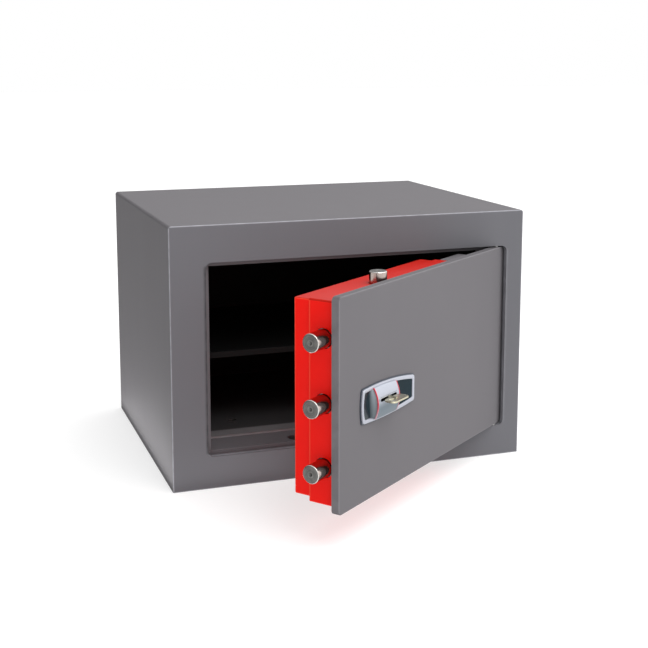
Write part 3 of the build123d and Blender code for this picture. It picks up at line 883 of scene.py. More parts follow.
def rounded_step(start: Sequence[float], corner: Sequence[float], stop: Sequence[float],
                 count: int = 7) -> np.ndarray:
    """Points from start to stop that bend round a corner: (1-t)^2 start + 2t(1-t) corner + t^2 stop.

    Args:
        start: The first point.
        corner: The point that pulls the bend.
        stop: The last point.
        count: How many points.

    Returns:
        The points, count by the points' own length.
    """
    t = np.linspace(0.0, 1.0, count)[:, None]
    a, b, c = (np.asarray(point) for point in (start, corner, stop))
    return (1 - t) ** 2 * a + 2 * t * (1 - t) * b + t ** 2 * c


# The door's own frame


@dataclass(frozen=True)
class DoorFrame:
    """Coordinates of the door as if it were closed, and where they are with the door ajar."""

    pivot: np.ndarray
    along: np.ndarray
    out: np.ndarray

    @classmethod
    def read(cls, joints: Sequence[Mapping[str, object]]) -> DoorFrame:
        """Take the hinge line, the bolts' direction and the door's normal from the joints.

        Args:
            joints: The frame's joints at rest.

        Returns:
            The door's frame.
        """
        named = {joint["name"]: joint for joint in joints}
        source = (("door_hinge", "pos_m"), ("bolt_throw", "axis"), ("key_withdraw", "axis"))
        return cls(*(np.array(named[joint][key]) for joint, key in source))

    @property
    def turn(self) -> float:
        """How far the door stands open, in radians."""
        return math.atan2(self.along[1], self.along[0])

    def ajar(self, points: np.ndarray) -> np.ndarray:
        """Closed coordinates to the open door's place: pivot + x along - y out + z up."""
        away = points - self.pivot
        return self.pivot + away @ np.stack([self.along, -self.out, (0.0, 0.0, 1.0)])

    def closed(self, node: str) -> np.ndarray:
        """A node's points in the closed door's coordinates.

        Args:
            node: The node's name.

        Returns:
            The points, one in each row.
        """
        mesh = bpy.data.objects[node].data
        flat = np.empty(3 * len(mesh.vertices))
        mesh.vertices.foreach_get("co", flat)
        away = flat.reshape(-1, 3) - self.pivot
        return self.pivot + gather(away @ self.along, -away @ self.out, away[:, 2])

    def box(self, node: str) -> tuple[np.ndarray, np.ndarray]:
        """A node's lowest and highest corners in the closed door's coordinates."""
        return extent(self.closed(node))


# Sub-assemblies


@dataclass
class Assembly(ABC):
    """One sub-assembly of the safe: it builds its pieces, dresses them and reports them."""

    door: DoorFrame

    @abstractmethod
    def build(self) -> None:
        """Make and dress every new piece of this sub-assembly."""

    def add(self, piece: Object, body: str, slot: str, finish: Finish,
            replaces: Sequence[str] = ()) -> None:
        """Dress a piece, let it ride on a body and report it.

        Args:
            piece: The new piece.
            body: The body that it moves with.
            slot: The record's material slot that it belongs to; not used.
            finish: Its finish.
            replaces: The nodes of the frame that it stands for.
        """
        piece.data.materials.clear()
        piece.data.materials.append(finish.build(piece.name))
        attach(piece, body)
        if replaces:
            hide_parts(*replaces)
        LOG.info("%s rides on %s, %d faces", piece.name, body, len(piece.data.polygons))


@dataclass(frozen=True)
class BoltForm:
    """What the lathe leaves on a locking bolt."""

    edge: float = 1.0 * MM
    soft: float = 0.25 * MM
    dimple: float = 2.3 * MM
    dimple_slope: float = 0.8
    groove: float = 0.05 * MM
    rings: int = 9
    steps: int = 90
    bend_steps: int = 5

    def face(self, radius: float) -> np.ndarray:
        """The end face of a bolt from its middle to the shank.

        The depth is a cone in the dimple, then fine rings, depth = groove (1 - cos) / 2, and last
        a chamfer whose two corners are softened.

        Args:
            radius: The bolt's radius.

        Returns:
            Rows of (depth behind the tip, radius).
        """
        e, f = self.edge, self.soft
        r = np.linspace(0.0, radius - e - f, self.steps)
        cone = np.clip(1.0 - r / self.dimple, 0.0, 1.0) * self.dimple * self.dimple_slope
        wave = (1.0 - np.cos(2.0 * math.pi * self.rings * (r - self.dimple) / (radius - self.dimple))) / 2.0
        rings = np.where(r > self.dimple, self.groove * wave, 0.0)
        inner = rounded_step((0.0, radius - e - f), (0.0, radius - e), (f, radius - e + f), self.bend_steps)
        outer = rounded_step((e - f, radius - f), (e, radius), (e + f, radius), self.bend_steps)
        return np.concatenate([gather(cone + rings, r), inner[1:], outer])


@dataclass
class LockingBolts(Assembly):
    """The five round bolts, turned from bar and nickel plated."""

    side: tuple[str, ...] = ("lower_side_bolt", "middle_side_bolt", "upper_side_bolt")
    upright: tuple[tuple[str, str, int], ...] = (
        ("top_bolt", "header_bolt", 1), ("bottom_bolt", "sill_bolt", -1))
    nickel: NickelBolt = NickelBolt(face_radius=11.5 * MM)
    form: BoltForm = BoltForm()
    hair: float = 0.01 * MM

    def side_bolt(self, node: str) -> Grid:
        """A side bolt: its turned face, its shank and the spigot that the bar is riveted to.

        Args:
            node: The node of the frame that gives the sizes.

        Returns:
            The grid in the row's frame.
        """
        points = self.door.closed(node)
        low, high = extent(points)
        middle, radius = (low + high) / 2.0, (high[2] - low[2]) / 2.0
        away = np.hypot(points[:, 1] - middle[1], points[:, 2] - middle[2])
        root = points[away > AT_RIM * radius, 0].max()
        spigot = away[points[:, 0] > high[0] - NEAR].max()
        tail = [(root, radius), (root, spigot), (high[0], spigot), (high[0], 0.0)]
        profile = np.concatenate([self.form.face(radius) + [low[0], 0.0], tail])
        return self.door.ajar(turned(*profile.T) + [0.0, middle[1], middle[2]])

    def upright_bolt(self, node: str, up: int) -> Grid:
        """A bolt of the header or the sill, milled flat where its link is screwed on.

        The round shank's points behind the link's plane are pressed onto that plane.

        Args:
            node: The node of the frame that gives the sizes.
            up: 1 if it points up, -1 if it points down.

        Returns:
            The grid in the row's frame.
        """
        points = self.door.closed(node)
        low, high = extent(points)
        radius = (high[0] - low[0]) / 2.0
        root, tip = (low[2], high[2])[::up]
        flat = points[np.abs(points[:, 2] - root) < NEAR, 1].max()
        lap = np.abs(points[points[:, 1] > flat + NEAR, 2] - root).min()
        length = abs(tip - root)
        milled = length - lap
        tail = [(milled - self.hair, radius), (milled, radius), (length, radius), (length, 0.0)]
        profile = np.concatenate([self.form.face(radius), tail])
        depth, x, y = np.moveaxis(turned(*profile.T), -1, 0)
        y = low[1] + radius + y
        y = np.where(depth >= milled - self.hair / 2, np.minimum(y, flat), y)
        return self.door.ajar(gather((low[0] + high[0]) / 2.0 + x, y, tip - up * depth))

    def build(self) -> None:
        """Make the three side bolts and the two upright ones."""
        for node in self.side:
            piece = skin(f"{node}_turned", self.side_bolt(node))
            self.add(piece, "boltwork", "bolt_steel", self.nickel, [node])
        for node, body, up in self.upright:
            piece = skin(f"{node}_turned", self.upright_bolt(node, up))
            self.add(piece, body, "bolt_steel", self.nickel, [node])


@dataclass(frozen=True)
class PlateOutline:
    """The lock plate's outline: four bowed sides with rounded corners, taller at the free edge."""

    left: float
    right: float
    middle: float
    left_height: float = 43.0 * MM
    right_height: float = 34.5 * MM
    fall: float = 4.0 * MM
    side_bow: float = 2.5 * MM
    top_bow: float = 4.0 * MM
    bottom_bow: float = 2.5 * MM
    corner: float = 4.0 * MM
    least_corner: float = 1.0 * MM
    side_steps: int = 28

    def corners(self, inset: float) -> np.ndarray:
        """The four corners before rounding, from the lower left, as (x, z).

        The right end's middle lies lower than the left end's by the fall.

        Args:
            inset: How far inside the outer outline.

        Returns:
            The corners.
        """
        a, b = self.left_height / 2 - inset, self.right_height / 2 - inset
        x0, x1 = self.left + inset, self.right - inset
        left, right = self.middle + self.fall / 2, self.middle - self.fall / 2
        return np.array([(x0, left - a), (x1, right - b), (x1, right + b), (x0, left + a)])

    def loop(self, inset: float) -> np.ndarray:
        """The closed outline, drawn in by an inset.

        Each side is a shallow parabola, corner + t (next - corner) + 4 bow t (1 - t) outwards, cut
        short of its corners, and each corner is a quadratic bend between the two sides.

        Args:
            inset: How far inside the outer outline.

        Returns:
            Points as (x, z), the same number for every inset.
        """
        corners = self.corners(inset)
        bows = ((0.0, -self.bottom_bow), (0.0, 0.0), (0.0, self.top_bow), (-self.side_bow, 0.0))
        corner = max(self.corner - inset / 2, self.least_corner)
        sides = []
        for start, stop, bow in zip(corners, np.roll(corners, -1, axis=0), bows):
            trim = corner / np.linalg.norm(stop - start)
            t = np.linspace(trim, 1.0 - trim, self.side_steps)[:, None]
            sides.append(start + t * (stop - start) + 4.0 * t * (1 - t) * np.array(bow))
        bends = [rounded_step(side[-1], corners[k - 3], sides[k - 3][0])[1:-1]
                 for k, side in enumerate(sides)]
        return np.concatenate([part for pair in zip(sides, bends) for part in pair])

    def span(self, x: np.ndarray, inset: float) -> tuple[np.ndarray, np.ndarray]:
        """The lower and upper edge of the drawn-in outline at each x.

        Args:
            x: The places.
            inset: How far inside the outer outline.

        Returns:
            The heights of the lower and of the upper edge.
        """
        (x0, low0), (x1, low1), (_, high1), (_, high0) = self.corners(inset)
        t = (x - x0) / (x1 - x0)
        curve = 4.0 * t * (1 - t)
        low = low0 + t * (low1 - low0) - self.bottom_bow * curve
        return low, high0 + t * (high1 - high0) + self.top_bow * curve


@dataclass
class LockPlate(Assembly):
    """The lock plate on the door: bezel, sunk panels, bowed band with its slot, and rings."""

    border: float = 1.2 * MM
    bezel_width: float = 4.5 * MM
    panel_depth: float = 0.5 * MM
    dish: float = 0.35 * MM
    overlap: float = 0.6 * MM
    cove: float = 7.0 * MM
    seam: float = 4.0 * MM
    band_rise: float = 0.5 * MM
    band_half: float = 21.0 * MM
    slot_half: tuple[float, float] = (18.5 * MM, 1.8 * MM)
    slot_gap: float = 0.3 * MM
    slot_chamfer: float = 0.35 * MM
    throat_gap: float = 1.0 * MM
    throat_half: float = 3.5 * MM
    ring_width: float = 1.2 * MM
    ring_proud: float = 0.5 * MM
    # The silver is the bezel's own colour; slate, pale and rose are painted shade and painted reflections on
    # the band, the left panel and the rings.
    silver: Colour = (0.39, 0.405, 0.46)
    shaded_slate: Colour = (0.10, 0.135, 0.165)
    dark: Colour = (0.008, 0.018, 0.024)
    reflected_pale: Colour = (0.4, 0.46, 0.5)
    red: Colour = (0.6, 0.02, 0.045)
    reflected_rose: Colour = (0.52, 0.3, 0.34)
    panel_points: tuple[int, int] = (49, 25)
    panel_crowd: float = 0.8
    loop_points: tuple[int, int] = (96, 24)
    band_rows: int = 26
    ring_points: tuple[int, int] = (48, 15)

    def __post_init__(self) -> None:
        """Read the plate's, the band's and the key's places from the frame."""
        low, high = self.door.box("lock_gasket")
        self.seat = high[1]
        level = PlateOutline(low[0] + PlateOutline.side_bow, high[0], 0.0)
        bottom, _ = level.span((level.left + level.right) / 2, 0.0)
        self.outline = PlateOutline(level.left, level.right, low[2] - bottom)
        bezel_low, bezel_high = self.door.box("lock_bezel")
        self.base, self.front = bezel_high[1], bezel_low[1]
        self.band_low, self.band_high = self.door.box("keyhole_barrel")
        self.key_low, self.key_high = self.door.box("key")

    def sheet(self, name: str, xz: np.ndarray, y: np.ndarray, sharp: float) -> Object:
        """A ring-shaped piece from rows of loops, each at its own depths.

        Args:
            name: The piece's name.
            xz: Loops as rows by columns by (x, z).
            y: Depths, rows by columns or rows by 1.
            sharp: The angle past which an edge is sharp.

        Returns:
            The object, closed across its rows.
        """
        grid = self.door.ajar(gather(xz[..., 0], y, xz[..., 1]))
        return skin(name, grid, closed_across=True, sharp=sharp)

    def bezel(self) -> Object:
        """The bright frame: a crowned section carried round the outline at its own insets.

        Returns:
            The frame.
        """
        def at(across: float, rise: float) -> tuple[float, float]:
            """A point of the section, as shares of its width and of its height over the base."""
            return self.border + across * self.bezel_width, self.base - rise * (self.base - self.front)

        outer = rounded_step(at(0.0, 0.45), at(0.0, 0.9), at(0.2, 1.0), 8)
        inner = rounded_step(at(0.7, 0.94), at(1.0, 0.85), at(1.0, 0.4), 8)
        section = np.concatenate([[at(0.0, 0.0)], outer, inner, [at(1.0, 0.0)]])
        loops = np.stack([self.outline.loop(inset) for inset in section[:, 0]])
        return self.sheet("bezel_frame", loops, section[:, 1:2], sharp=40.0)

    def panel(self, name: str, start: float, stop: float, cove: float = 0.0) -> Object:
        """A sunk panel: a grid between two edges that is dished by dish sin(pi s) sin(pi t).

        A cove lifts its right end up to the band: by the height times 1 - sqrt(1 - u^2), where u
        runs from 0 to 1 over the cove's width. The columns stand closer towards that end.

        Args:
            name: The piece's name.
            start: Its left edge.
            stop: Its right edge.
            cove: How wide the cove is.

        Returns:
            The closed panel.
        """
        s, t = (np.linspace(0.0, 1.0, count) for count in self.panel_points)
        s = s[:, None] ** self.panel_crowd
        x = start + (stop - start) * s
        low, high = self.outline.span(x, self.border + self.bezel_width - self.overlap)
        z = low + (high - low) * t
        lip = self.base - self.panel_depth
        hollow = self.dish * np.sin(math.pi * s) * np.sin(math.pi * t)
        if cove:
            u = np.clip((x - stop + cove) / cove, 0.0, 1.0)
            hollow = hollow - (lip - self.band_depth(z) - self.ring_width) * (1.0 - np.sqrt(1.0 - u ** 2))
        face, back = gather(x, lip + hollow, z), gather(x, self.base, z)
        rim = np.concatenate([back[:, :1], face, back[:, -1:]], axis=1)
        return skin(name, self.door.ajar(rim), sharp=30.0)

    def band_depth(self, z: np.ndarray) -> np.ndarray:
        """The band's front at each height: a parabola, foot - bulge (1 - (z / half)^2).

        The foot stands a little in front of the bezel.

        Args:
            z: Heights.

        Returns:
            The depths.
        """
        foot = self.front - self.band_rise
        share = np.clip((z - self.outline.middle) / self.band_half, -1.0, 1.0)
        return foot - (foot - self.band_low[1]) * (1.0 - share ** 2)

    def loops(self) -> tuple[np.ndarray, np.ndarray]:
        """The slot's edge and the band's edge as two loops of points that pair off.

        The slot's upper side is z = max(half height, sqrt(r^2 - x^2)), r the round middle's
        radius; its ends are half circles. Each pairs with one side of the band.

        Returns:
            The slot's points and the band's, as (x, z).
        """
        middle = (self.key_low + self.key_high) / 2
        radius = (self.key_high[2] - self.key_low[2]) / 2 + self.slot_gap
        half_x, half_z = self.slot_half
        side, end = self.loop_points
        u, share = np.arange(side) * 2.0 / side - 1.0, np.arange(end) / end
        along = u * (half_x - half_z)
        rise = np.maximum(half_z, np.sqrt(np.clip(radius ** 2 - along ** 2, 0.0, None)))
        turn = math.pi * (0.5 - share)
        over = gather(along, rise)
        bend = gather(half_x - half_z + half_z * np.cos(turn), half_z * np.sin(turn))
        slot = np.concatenate([over, bend, -over, -bend]) + middle[[0, 2]]
        left, right = self.band_low[0], self.band_high[0]
        low, high = self.outline.span(np.array([left, right]), self.seam)
        x = left + (right - left) * (u + 1.0) / 2.0
        back = left + right - x
        edge = [gather(x, self.outline.span(x, self.seam)[1]),
                gather(right, high[1] + (low[1] - high[1]) * share),
                gather(back, self.outline.span(back, self.seam)[0]),
                gather(left, low[0] + (high[0] - low[0]) * share)]
        return slot, np.concatenate(edge)

    def throat(self) -> BoxEdges:
        """The room inside the slot, from just behind the band's front to the door.

        Returns:
            The room's box.
        """
        x, _, z = (self.key_low + self.key_high) / 2
        half = self.slot_half[0] + self.throat_gap
        near = (x - half, self.band_low[1] + self.throat_gap, z - self.throat_half)
        return BoxEdges.between(near, (x + half, self.seat, z + self.throat_half), self.door)

    def band(self) -> Object:
        """The bowed band with its keyhole: loops that grow from the slot's edge to the band's.

        Row v is (1 - v) slot + v edge, laid on the band's arc. The first and last rows drop back
        to the door, and the second is a small chamfer round the slot.

        Returns:
            The band.
        """
        slot, edge = self.loops()
        v = np.concatenate([[0.0, 0.0, 0.02], np.linspace(0.06, 1.0, self.band_rows), [1.0]])[:, None, None]
        xz = (1 - v) * slot + v * edge
        y = self.band_depth(xz[..., 1])
        y[0], y[-1] = self.seat, self.base
        y[1] += self.slot_chamfer
        return self.sheet("keyhole_band", xz, y, sharp=32.0)

    def ring(self, name: str, x: float) -> Object:
        """A thin bead on the band's end, rounded in front: its section follows the band's arc.

        The front is depth - proud sin t across the width, and the back lies a width behind it.

        Args:
            name: The piece's name.
            x: Where its middle is.

        Returns:
            The ring.
        """
        up, across = self.ring_points
        z = np.linspace(*self.outline.span(x, self.seam), up)[:, None]
        t = np.linspace(0.0, math.pi, across)
        x = x + self.ring_width / 2 * np.cos(t)
        x = np.concatenate([x[:1], x, x[-1:]])
        back = np.minimum(self.band_depth(z) + self.ring_width, self.base)
        depth = np.concatenate([back, self.band_depth(z) - self.ring_proud * np.sin(t), back], axis=1)
        return skin(name, self.door.ajar(gather(x, depth, z)))

    def build(self) -> None:
        """Make the bezel, the panels, the band and the rings."""
        outline, left, right = self.outline, self.band_low[0], self.band_high[0]
        level = float(outline.middle)
        origin = tuple(self.door.ajar(np.array([outline.left, self.seat, level])))
        wide = left - outline.left
        inner = self.border + self.bezel_width - self.overlap
        # Painted light and shade: the bezel, the band and the rings are lit above and shaded below, the band
        # is painted near-black inside its slot, and both panels pale across the door as painted reflection.
        frame = Satin(self.silver, tint(self.silver, 0.86), height=level, spread=30.0 * MM, metallic=0.4)
        band = Satin(self.silver, self.shaded_slate, height=level + 1.0 * MM, spread=7.0 * MM, metallic=0.5,
                     pocket=self.throat())
        bead = Satin(self.red, self.reflected_rose, height=level - 7.0 * MM, spread=9.0 * MM, metallic=0.1,
                     roughness=0.28)
        lit = Lacquer(self.dark, self.reflected_pale, origin, self.door.turn, start=0.6 * wide, stop=1.2 * wide,
                      slope=-0.1)
        plain = Lacquer(tint(self.dark, 0.8), tint(self.dark, 1.3), origin, self.door.turn, start=0.0,
                        stop=0.2, slope=0.3, coat=0.0, gloss=0.03)
        self.add(self.bezel(), "door", "bezel_silver", frame, ["lock_bezel"])
        self.add(self.panel("left_panel", outline.left + inner - outline.side_bow, left, self.cove),
                 "door", "panel_dark", lit, ["lock_panel"])
        self.add(self.panel("right_panel", right, outline.right - inner), "door", "panel_dark", plain)
        self.add(self.band(), "door", "bezel_silver", band, ["keyhole_barrel"])
        self.add(self.ring("left_ring", left - self.ring_width / 2), "door", "ring_red", bead, ["trim_rings"])
        self.add(self.ring("right_ring", right + self.ring_width / 2), "door", "ring_red", bead)


@dataclass
class DoorKey(Assembly):
    """The flat double-bitted key: a thin bow with a ring hole, a round shank and stepped bits."""

    thickness: float = 2.0 * MM
    bow_length: float = 16.0 * MM
    corner: float = 5.3 * MM
    chamfer: float = 0.3 * MM
    hole: float = 4.0 * MM
    hole_share: float = 0.25
    tip: float = 0.6 * MM
    bit_half: float = 15.0 * MM
    bit_length: float = 12.0 * MM
    cuts: int = 3
    cut_half: float = 0.8 * MM
    cut_step: float = 1.0 * MM
    spokes: int = 40
    brass: Metal = Metal((0.52, 0.49, 0.36), 0.32, Lay.DRAWN, marks=0.012 * MM, contrast=0.16)

    def bow_loop(self, half: np.ndarray, inset: float) -> np.ndarray:
        """The bow's outline: four quarter circles of radius corner - inset about fixed middles.

        Args:
            half: Half its width and half its length.
            inset: How far inside the outline.

        Returns:
            The closed loop as (x, y).
        """
        angle = np.linspace(0.0, math.pi / 2, 10) + np.arange(4)[:, None] * math.pi / 2
        middles = np.array([(1, 1), (-1, 1), (-1, -1), (1, -1)]) * (half - self.corner)
        turn = gather(np.cos(angle), np.sin(angle))
        return (middles[:, None, :] + (self.corner - inset) * turn).reshape(-1, 2)

    def bow(self, middle: np.ndarray, half: np.ndarray) -> Object:
        """The bow with its hole: rings from the hole over the top, round the rim and back below.

        Each ring's points lie on the same rays from the hole as the outline's.

        Args:
            middle: The bow's middle.
            half: Half its width and half its length.

        Returns:
            The bow.
        """
        eye = np.array([-half[0] * 2 * self.hole_share, 0.0])
        outline, drawn = self.bow_loop(half, 0.0), self.bow_loop(half, self.chamfer)
        ray = outline - eye
        ray = ray / np.linalg.norm(ray, axis=1, keepdims=True)
        rim, wide = eye + ray * self.hole, eye + ray * (self.hole + self.chamfer)
        h, f = self.thickness / 2, self.chamfer
        rings = [(wide, h), (drawn, h), (outline, h - f), (outline, f - h), (drawn, -h), (wide, -h),
                 (rim, f - h), (rim, h - f)]
        grid = np.stack([gather(*loop.T, z) for loop, z in rings])
        return skin("bow", self.door.ajar(grid + middle), closed_across=True, sharp=30.0)

    def bits(self, middle: float, deep: float, level: float) -> Object:
        """The bits: a plate whose two long edges have steps that go deeper towards the tip.

        Args:
            middle: The shank's x.
            deep: The depth of the tip.
            level: The height of the key.

        Returns:
            The plate.
        """
        number = np.arange(self.cuts)[:, None]
        centre = (number + 0.5) * self.bit_length / self.cuts
        y = (centre + self.cut_half * np.array([-1, -1, 1, 1])).ravel()
        x = ((number + 1.0) * self.cut_step * np.array([0, 1, 1, 0])).ravel()
        y = deep - self.bit_length + np.concatenate([[0.0], y, [self.bit_length]])
        x = self.bit_half - np.concatenate([[0.0], x, [0.0]])
        loop = np.concatenate([gather(middle + x, y), gather(middle - x, y)[::-1]])
        grid = np.stack([gather(*loop.T, level + side * self.thickness / 2) for side in (-1, 1)])
        return skin("bits", self.door.ajar(grid), sharp=20.0)

    def build(self) -> None:
        """Make the key where the frame's own key is."""
        low, high = self.door.box("key")
        half = np.array([(high[0] - low[0]) / 2, self.bow_length / 2])
        middle = np.array([(low[0] + high[0]) / 2, low[1] + half[1], (low[2] + high[2]) / 2])
        radius, length = (high[2] - low[2]) / 2, high[1] - middle[1]
        shank = turned(np.array([0.0, 0.0, length - self.tip, length, length]),
                       np.array([0.0, radius, radius, radius - self.tip, 0.0]), self.spokes)
        pieces = [self.bow(middle, half), skin("shank", self.door.ajar(middle + shank[..., [1, 0, 2]])),
                  self.bits(middle[0], high[1], middle[2])]
        self.add(joined("flat_key", pieces), "door_key", "key_brass", self.brass, ["key"])


@dataclass
class CoverScrews(Assembly):
    """The four pan-head screws that hold the cover."""

    arm_width: float = 0.55 * MM
    arm_length: float = 2.6 * MM
    arm_fade: float = 0.6 * MM
    recess: float = 1.5 * MM
    rings: int = 30
    spokes: int = 64
    zinc: Metal = Metal((0.6, 0.6, 0.57), 0.28, Lay.ROLLED, marks=0.03 * MM)

    def arm(self, along: np.ndarray, aside: np.ndarray) -> np.ndarray:
        """1 inside an arm of the recess, falling to 0 past its width and its length."""
        wide = np.clip((1.5 * self.arm_width - np.abs(aside)) / self.arm_width, 0.0, 1.0)
        return wide * np.clip((self.arm_length - np.abs(along)) / self.arm_fade, 0.0, 1.0)

    def screw(self, points: np.ndarray) -> Grid:
        """One screw: a domed head with a cross recess, and its shank.

        The head's height over its seat is rise (1 - (r / radius)^4)^0.5, less the recess inside
        two crossing arms.

        Args:
            points: The points of the frame's own screw, in the closed door's coordinates.

        Returns:
            The grid in the row's frame.
        """
        low, high = extent(points)
        radius, centre = (high[0] - low[0]) / 2, (low + high) / 2
        away = np.hypot(points[:, 0] - centre[0], points[:, 2] - centre[2])
        shank = away[points[:, 1] < low[1] + NEAR].max()
        seat = points[away > AT_RIM * radius, 1].min()
        t = np.linspace(0.0, 2.0 * math.pi, self.spokes, endpoint=False)
        r = np.linspace(0.0, radius, self.rings)[:, None]
        x, z = r * np.cos(t), r * np.sin(t)
        dome = (high[1] - seat) * np.clip(1.0 - (r / radius) ** 4, 0.0, 1.0) ** 0.5
        cross = np.maximum(self.arm(x, z), self.arm(z, x))
        head = gather(x, seat + dome - self.recess * cross, z)
        tail = turned(np.array([seat, low[1], low[1]]), np.array([shank, shank, 0.0]), self.spokes)
        whole = np.concatenate([head, tail[..., [1, 0, 2]]])
        return self.door.ajar(whole + centre * [1.0, 0.0, 1.0])

    def build(self) -> None:
        """Find the four screws in the frame and make them in one piece."""
        points = self.door.closed("cover_screws")
        low, high = extent(points)
        x, _, z = (low + high) / 2
        corners = [((points[:, 0] > x) == right) & ((points[:, 2] > z) == above)
                   for right in (False, True) for above in (False, True)]
        made = [skin("screw", self.screw(points[corner])) for corner in corners]
        self.add(joined("cover_screw_set", made), "door", "screw_zinc", self.zinc, ["cover_screws"])


# Finishes of the frame's own nodes


class Wardrobe:
    """Which finish each material slot of the record takes, and which nodes have their own.

    GAP is the gap round the door plate, LEDGE how deep the jamb is in front of its ledge, and
    FLOOR_SHEET how high the floor's paint reaches over the liner's underside. SEAM_INSET and
    SEAM_REACH place the joint round the back panel, and CORNER is the radius of the opening's corners.
    """

    GREY: Colour = (0.125, 0.119, 0.127)
    COOL: Colour = (0.123, 0.122, 0.133)
    RED: Colour = (0.88, 0.006, 0.002)
    GAP = 2.0 * MM
    LEDGE = 8.0 * MM
    FLOOR_SHEET = 3.0 * MM
    SEAM_INSET = 4.5 * MM
    SEAM_REACH = 1.0
    CORNER = 7.0 * MM

    def __init__(self, door: DoorFrame) -> None:
        """Prepare one finish for each slot, and others for the painted boxes whose edges get painted
        highlights.

        Args:
            door: The door's own frame.
        """
        low, high = self.case_box()
        case = BoxEdges.between(low, high)
        near, far = door.box("door_plate")
        rims = self.opening_rims(near - self.GAP, far + self.GAP, low[1])
        liner_low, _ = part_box("inner_liner")
        self.by_slot: dict[str, Finish] = {
            # Painted highlights on the case's edges, and a dark joint round the back panel.
            "body_paint": PowderCoat(self.GREY, edges=(case, self.back_seam(low, high)), edge_light=1.45,
                                     edge_width=1.6 * MM),
            "jamb_paint": PowderCoat(tint(self.GREY, 0.9), roughness=0.66),
            # Painted shade on the liner's near-black walls and painted light at the front of its floor.
            "liner_paint": LinerPaint(floor_top=liner_low[2] + self.FLOOR_SHEET, front=liner_low[1]),
            # Painted highlights on the cover's folds and painted shade over its top.
            "cover_paint": Enamel(self.RED, edges=self.cover_edges(door), top=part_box("lock_cover")[1][2]),
            "fire_fill": Mineral((0.5, 0.47, 0.42)),
            "bolt_steel": Metal((0.62, 0.6, 0.57), 0.18, Lay.ROLLED, marks=0.01 * MM),
            "plain_steel": Metal((0.42, 0.42, 0.41), 0.36, Lay.DRAWN),
            "screw_zinc": Metal((0.6, 0.6, 0.57), 0.3, Lay.ROLLED),
            "cam_brass": Metal((0.66, 0.47, 0.18), 0.3, Lay.ROLLED),
            "key_brass": Metal((0.66, 0.6, 0.42), 0.26, Lay.DRAWN, marks=0.015 * MM, contrast=0.18),
            "gasket_black": Rubber((0.022, 0.03, 0.045), 0.4),
            # Painted light and shade: silver above, slate below.
            "bezel_silver": Satin(LockPlate.silver, LockPlate.shaded_slate, height=0.16, spread=20.0 * MM),
            "panel_dark": Rubber((0.02, 0.03, 0.04), 0.2),
            "ring_red": Enamel((0.6, 0.03, 0.05)),
        }
        # Painted highlights on the door plate's edges and on its free edge.
        leaf = BoxEdges.between(near, far, door)
        free = EdgeLine.between(near, (near[0], far[1], far[2]), door, light=1.5, spread=0.9)
        self.by_node: dict[str, Finish] = {
            # Painted highlights on the edges of the front face and of the jamb, and at the opening's sill and
            # hinge rims; painted shade at its left rim.
            "face_frame": PowderCoat(self.COOL, edges=(case, *rims), edge_light=2.9, edge_width=2.0 * MM),
            "door_plate": PowderCoat(tint(self.GREY, 0.93), edges=(leaf, free), edge_light=1.4),
            "door_jamb": PowderCoat(tint(self.GREY, 0.95), roughness=0.66, edges=(self.jamb_edges(), *rims),
                                    edge_light=1.9, edge_width=1.4 * MM),
        }

    def jamb_edges(self) -> BoxEdges:
        """The edges of the jamb's clear opening that get painted highlights, at its ledge in front and at its
        end inside.

        Returns:
            The box that fills the clear opening.
        """
        (x0, _, z0), (x1, _, z1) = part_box("inner_liner")
        front, back = (corner[1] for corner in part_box("door_jamb"))
        return BoxEdges.between((x0, front + self.LEDGE, z0), (x1, back, z1))

    def back_seam(self, low: np.ndarray, high: np.ndarray) -> BoxEdges:
        """The filled joint round the back panel, a little inside the case's outline.

        Args:
            low: The case's low corner.
            high: The case's high corner.

        Returns:
            The joint, as the edges of a smaller box that reaches far past the front.
        """
        near = low + [self.SEAM_INSET, -self.SEAM_REACH, self.SEAM_INSET]
        far = high - [self.SEAM_INSET, 0.0, self.SEAM_INSET]
        return BoxEdges.between(near, far, light=0.72, spread=0.9)

    def opening_rims(self, near: np.ndarray, far: np.ndarray, front: float) -> tuple[EdgeLine, ...]:
        """The opening's rounded front edges: painted highlights at the sill and at the hinge, painted shade
        at the left.

        Args:
            near: The opening's low corner.
            far: The opening's high corner.
            front: The depth of the front face.

        Returns:
            The three edges, each between the opening's rounded corners.
        """
        (x0, _, z0), (x1, _, z1) = near, far
        inner_x, inner_z = (x0 + self.CORNER, x1 - self.CORNER), (z0 + self.CORNER, z1 - self.CORNER)
        sill, left, right = (front + behind for behind in (5.0 * MM, 1.0 * MM, 4.0 * MM))
        return (EdgeLine.between((inner_x[0], sill, z0), (inner_x[1], sill, z0), light=2.1, spread=2.6),
                EdgeLine.between((x0, left, inner_z[0]), (x0, left, inner_z[1]), light=0.25, spread=2.4),
                EdgeLine.between((x1, right, inner_z[0]), (x1, right, inner_z[1]), light=2.6, spread=2.8))

    @staticmethod
    def cover_edges(door: DoorFrame) -> tuple[BoxEdges, ...]:
        """The folds of the cover that get painted highlights: its whole outline and the step in its sides.

        Args:
            door: The door's own frame.

        Returns:
            A box for the wide part in front and one for the narrow part.
        """
        points = door.closed("lock_cover")
        low, high = extent(points)
        inner = points[points[:, 1] > high[1] - 0.5 * MM]
        (x0, _, z0), (x1, _, z1) = extent(inner)
        step = points[points[:, 2] < low[2] + 2 * NEAR, 1].max()
        return (BoxEdges.between(low, (high[0], step, high[2]), door),
                BoxEdges.between((x0, low[1], z0), (x1, high[1], z1), door))

    @staticmethod
    def case_box() -> tuple[np.ndarray, np.ndarray]:
        """The body's box, front face included."""
        low, high = zip(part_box("outer_shell"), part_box("face_frame"))
        return np.min(low, axis=0), np.max(high, axis=0)

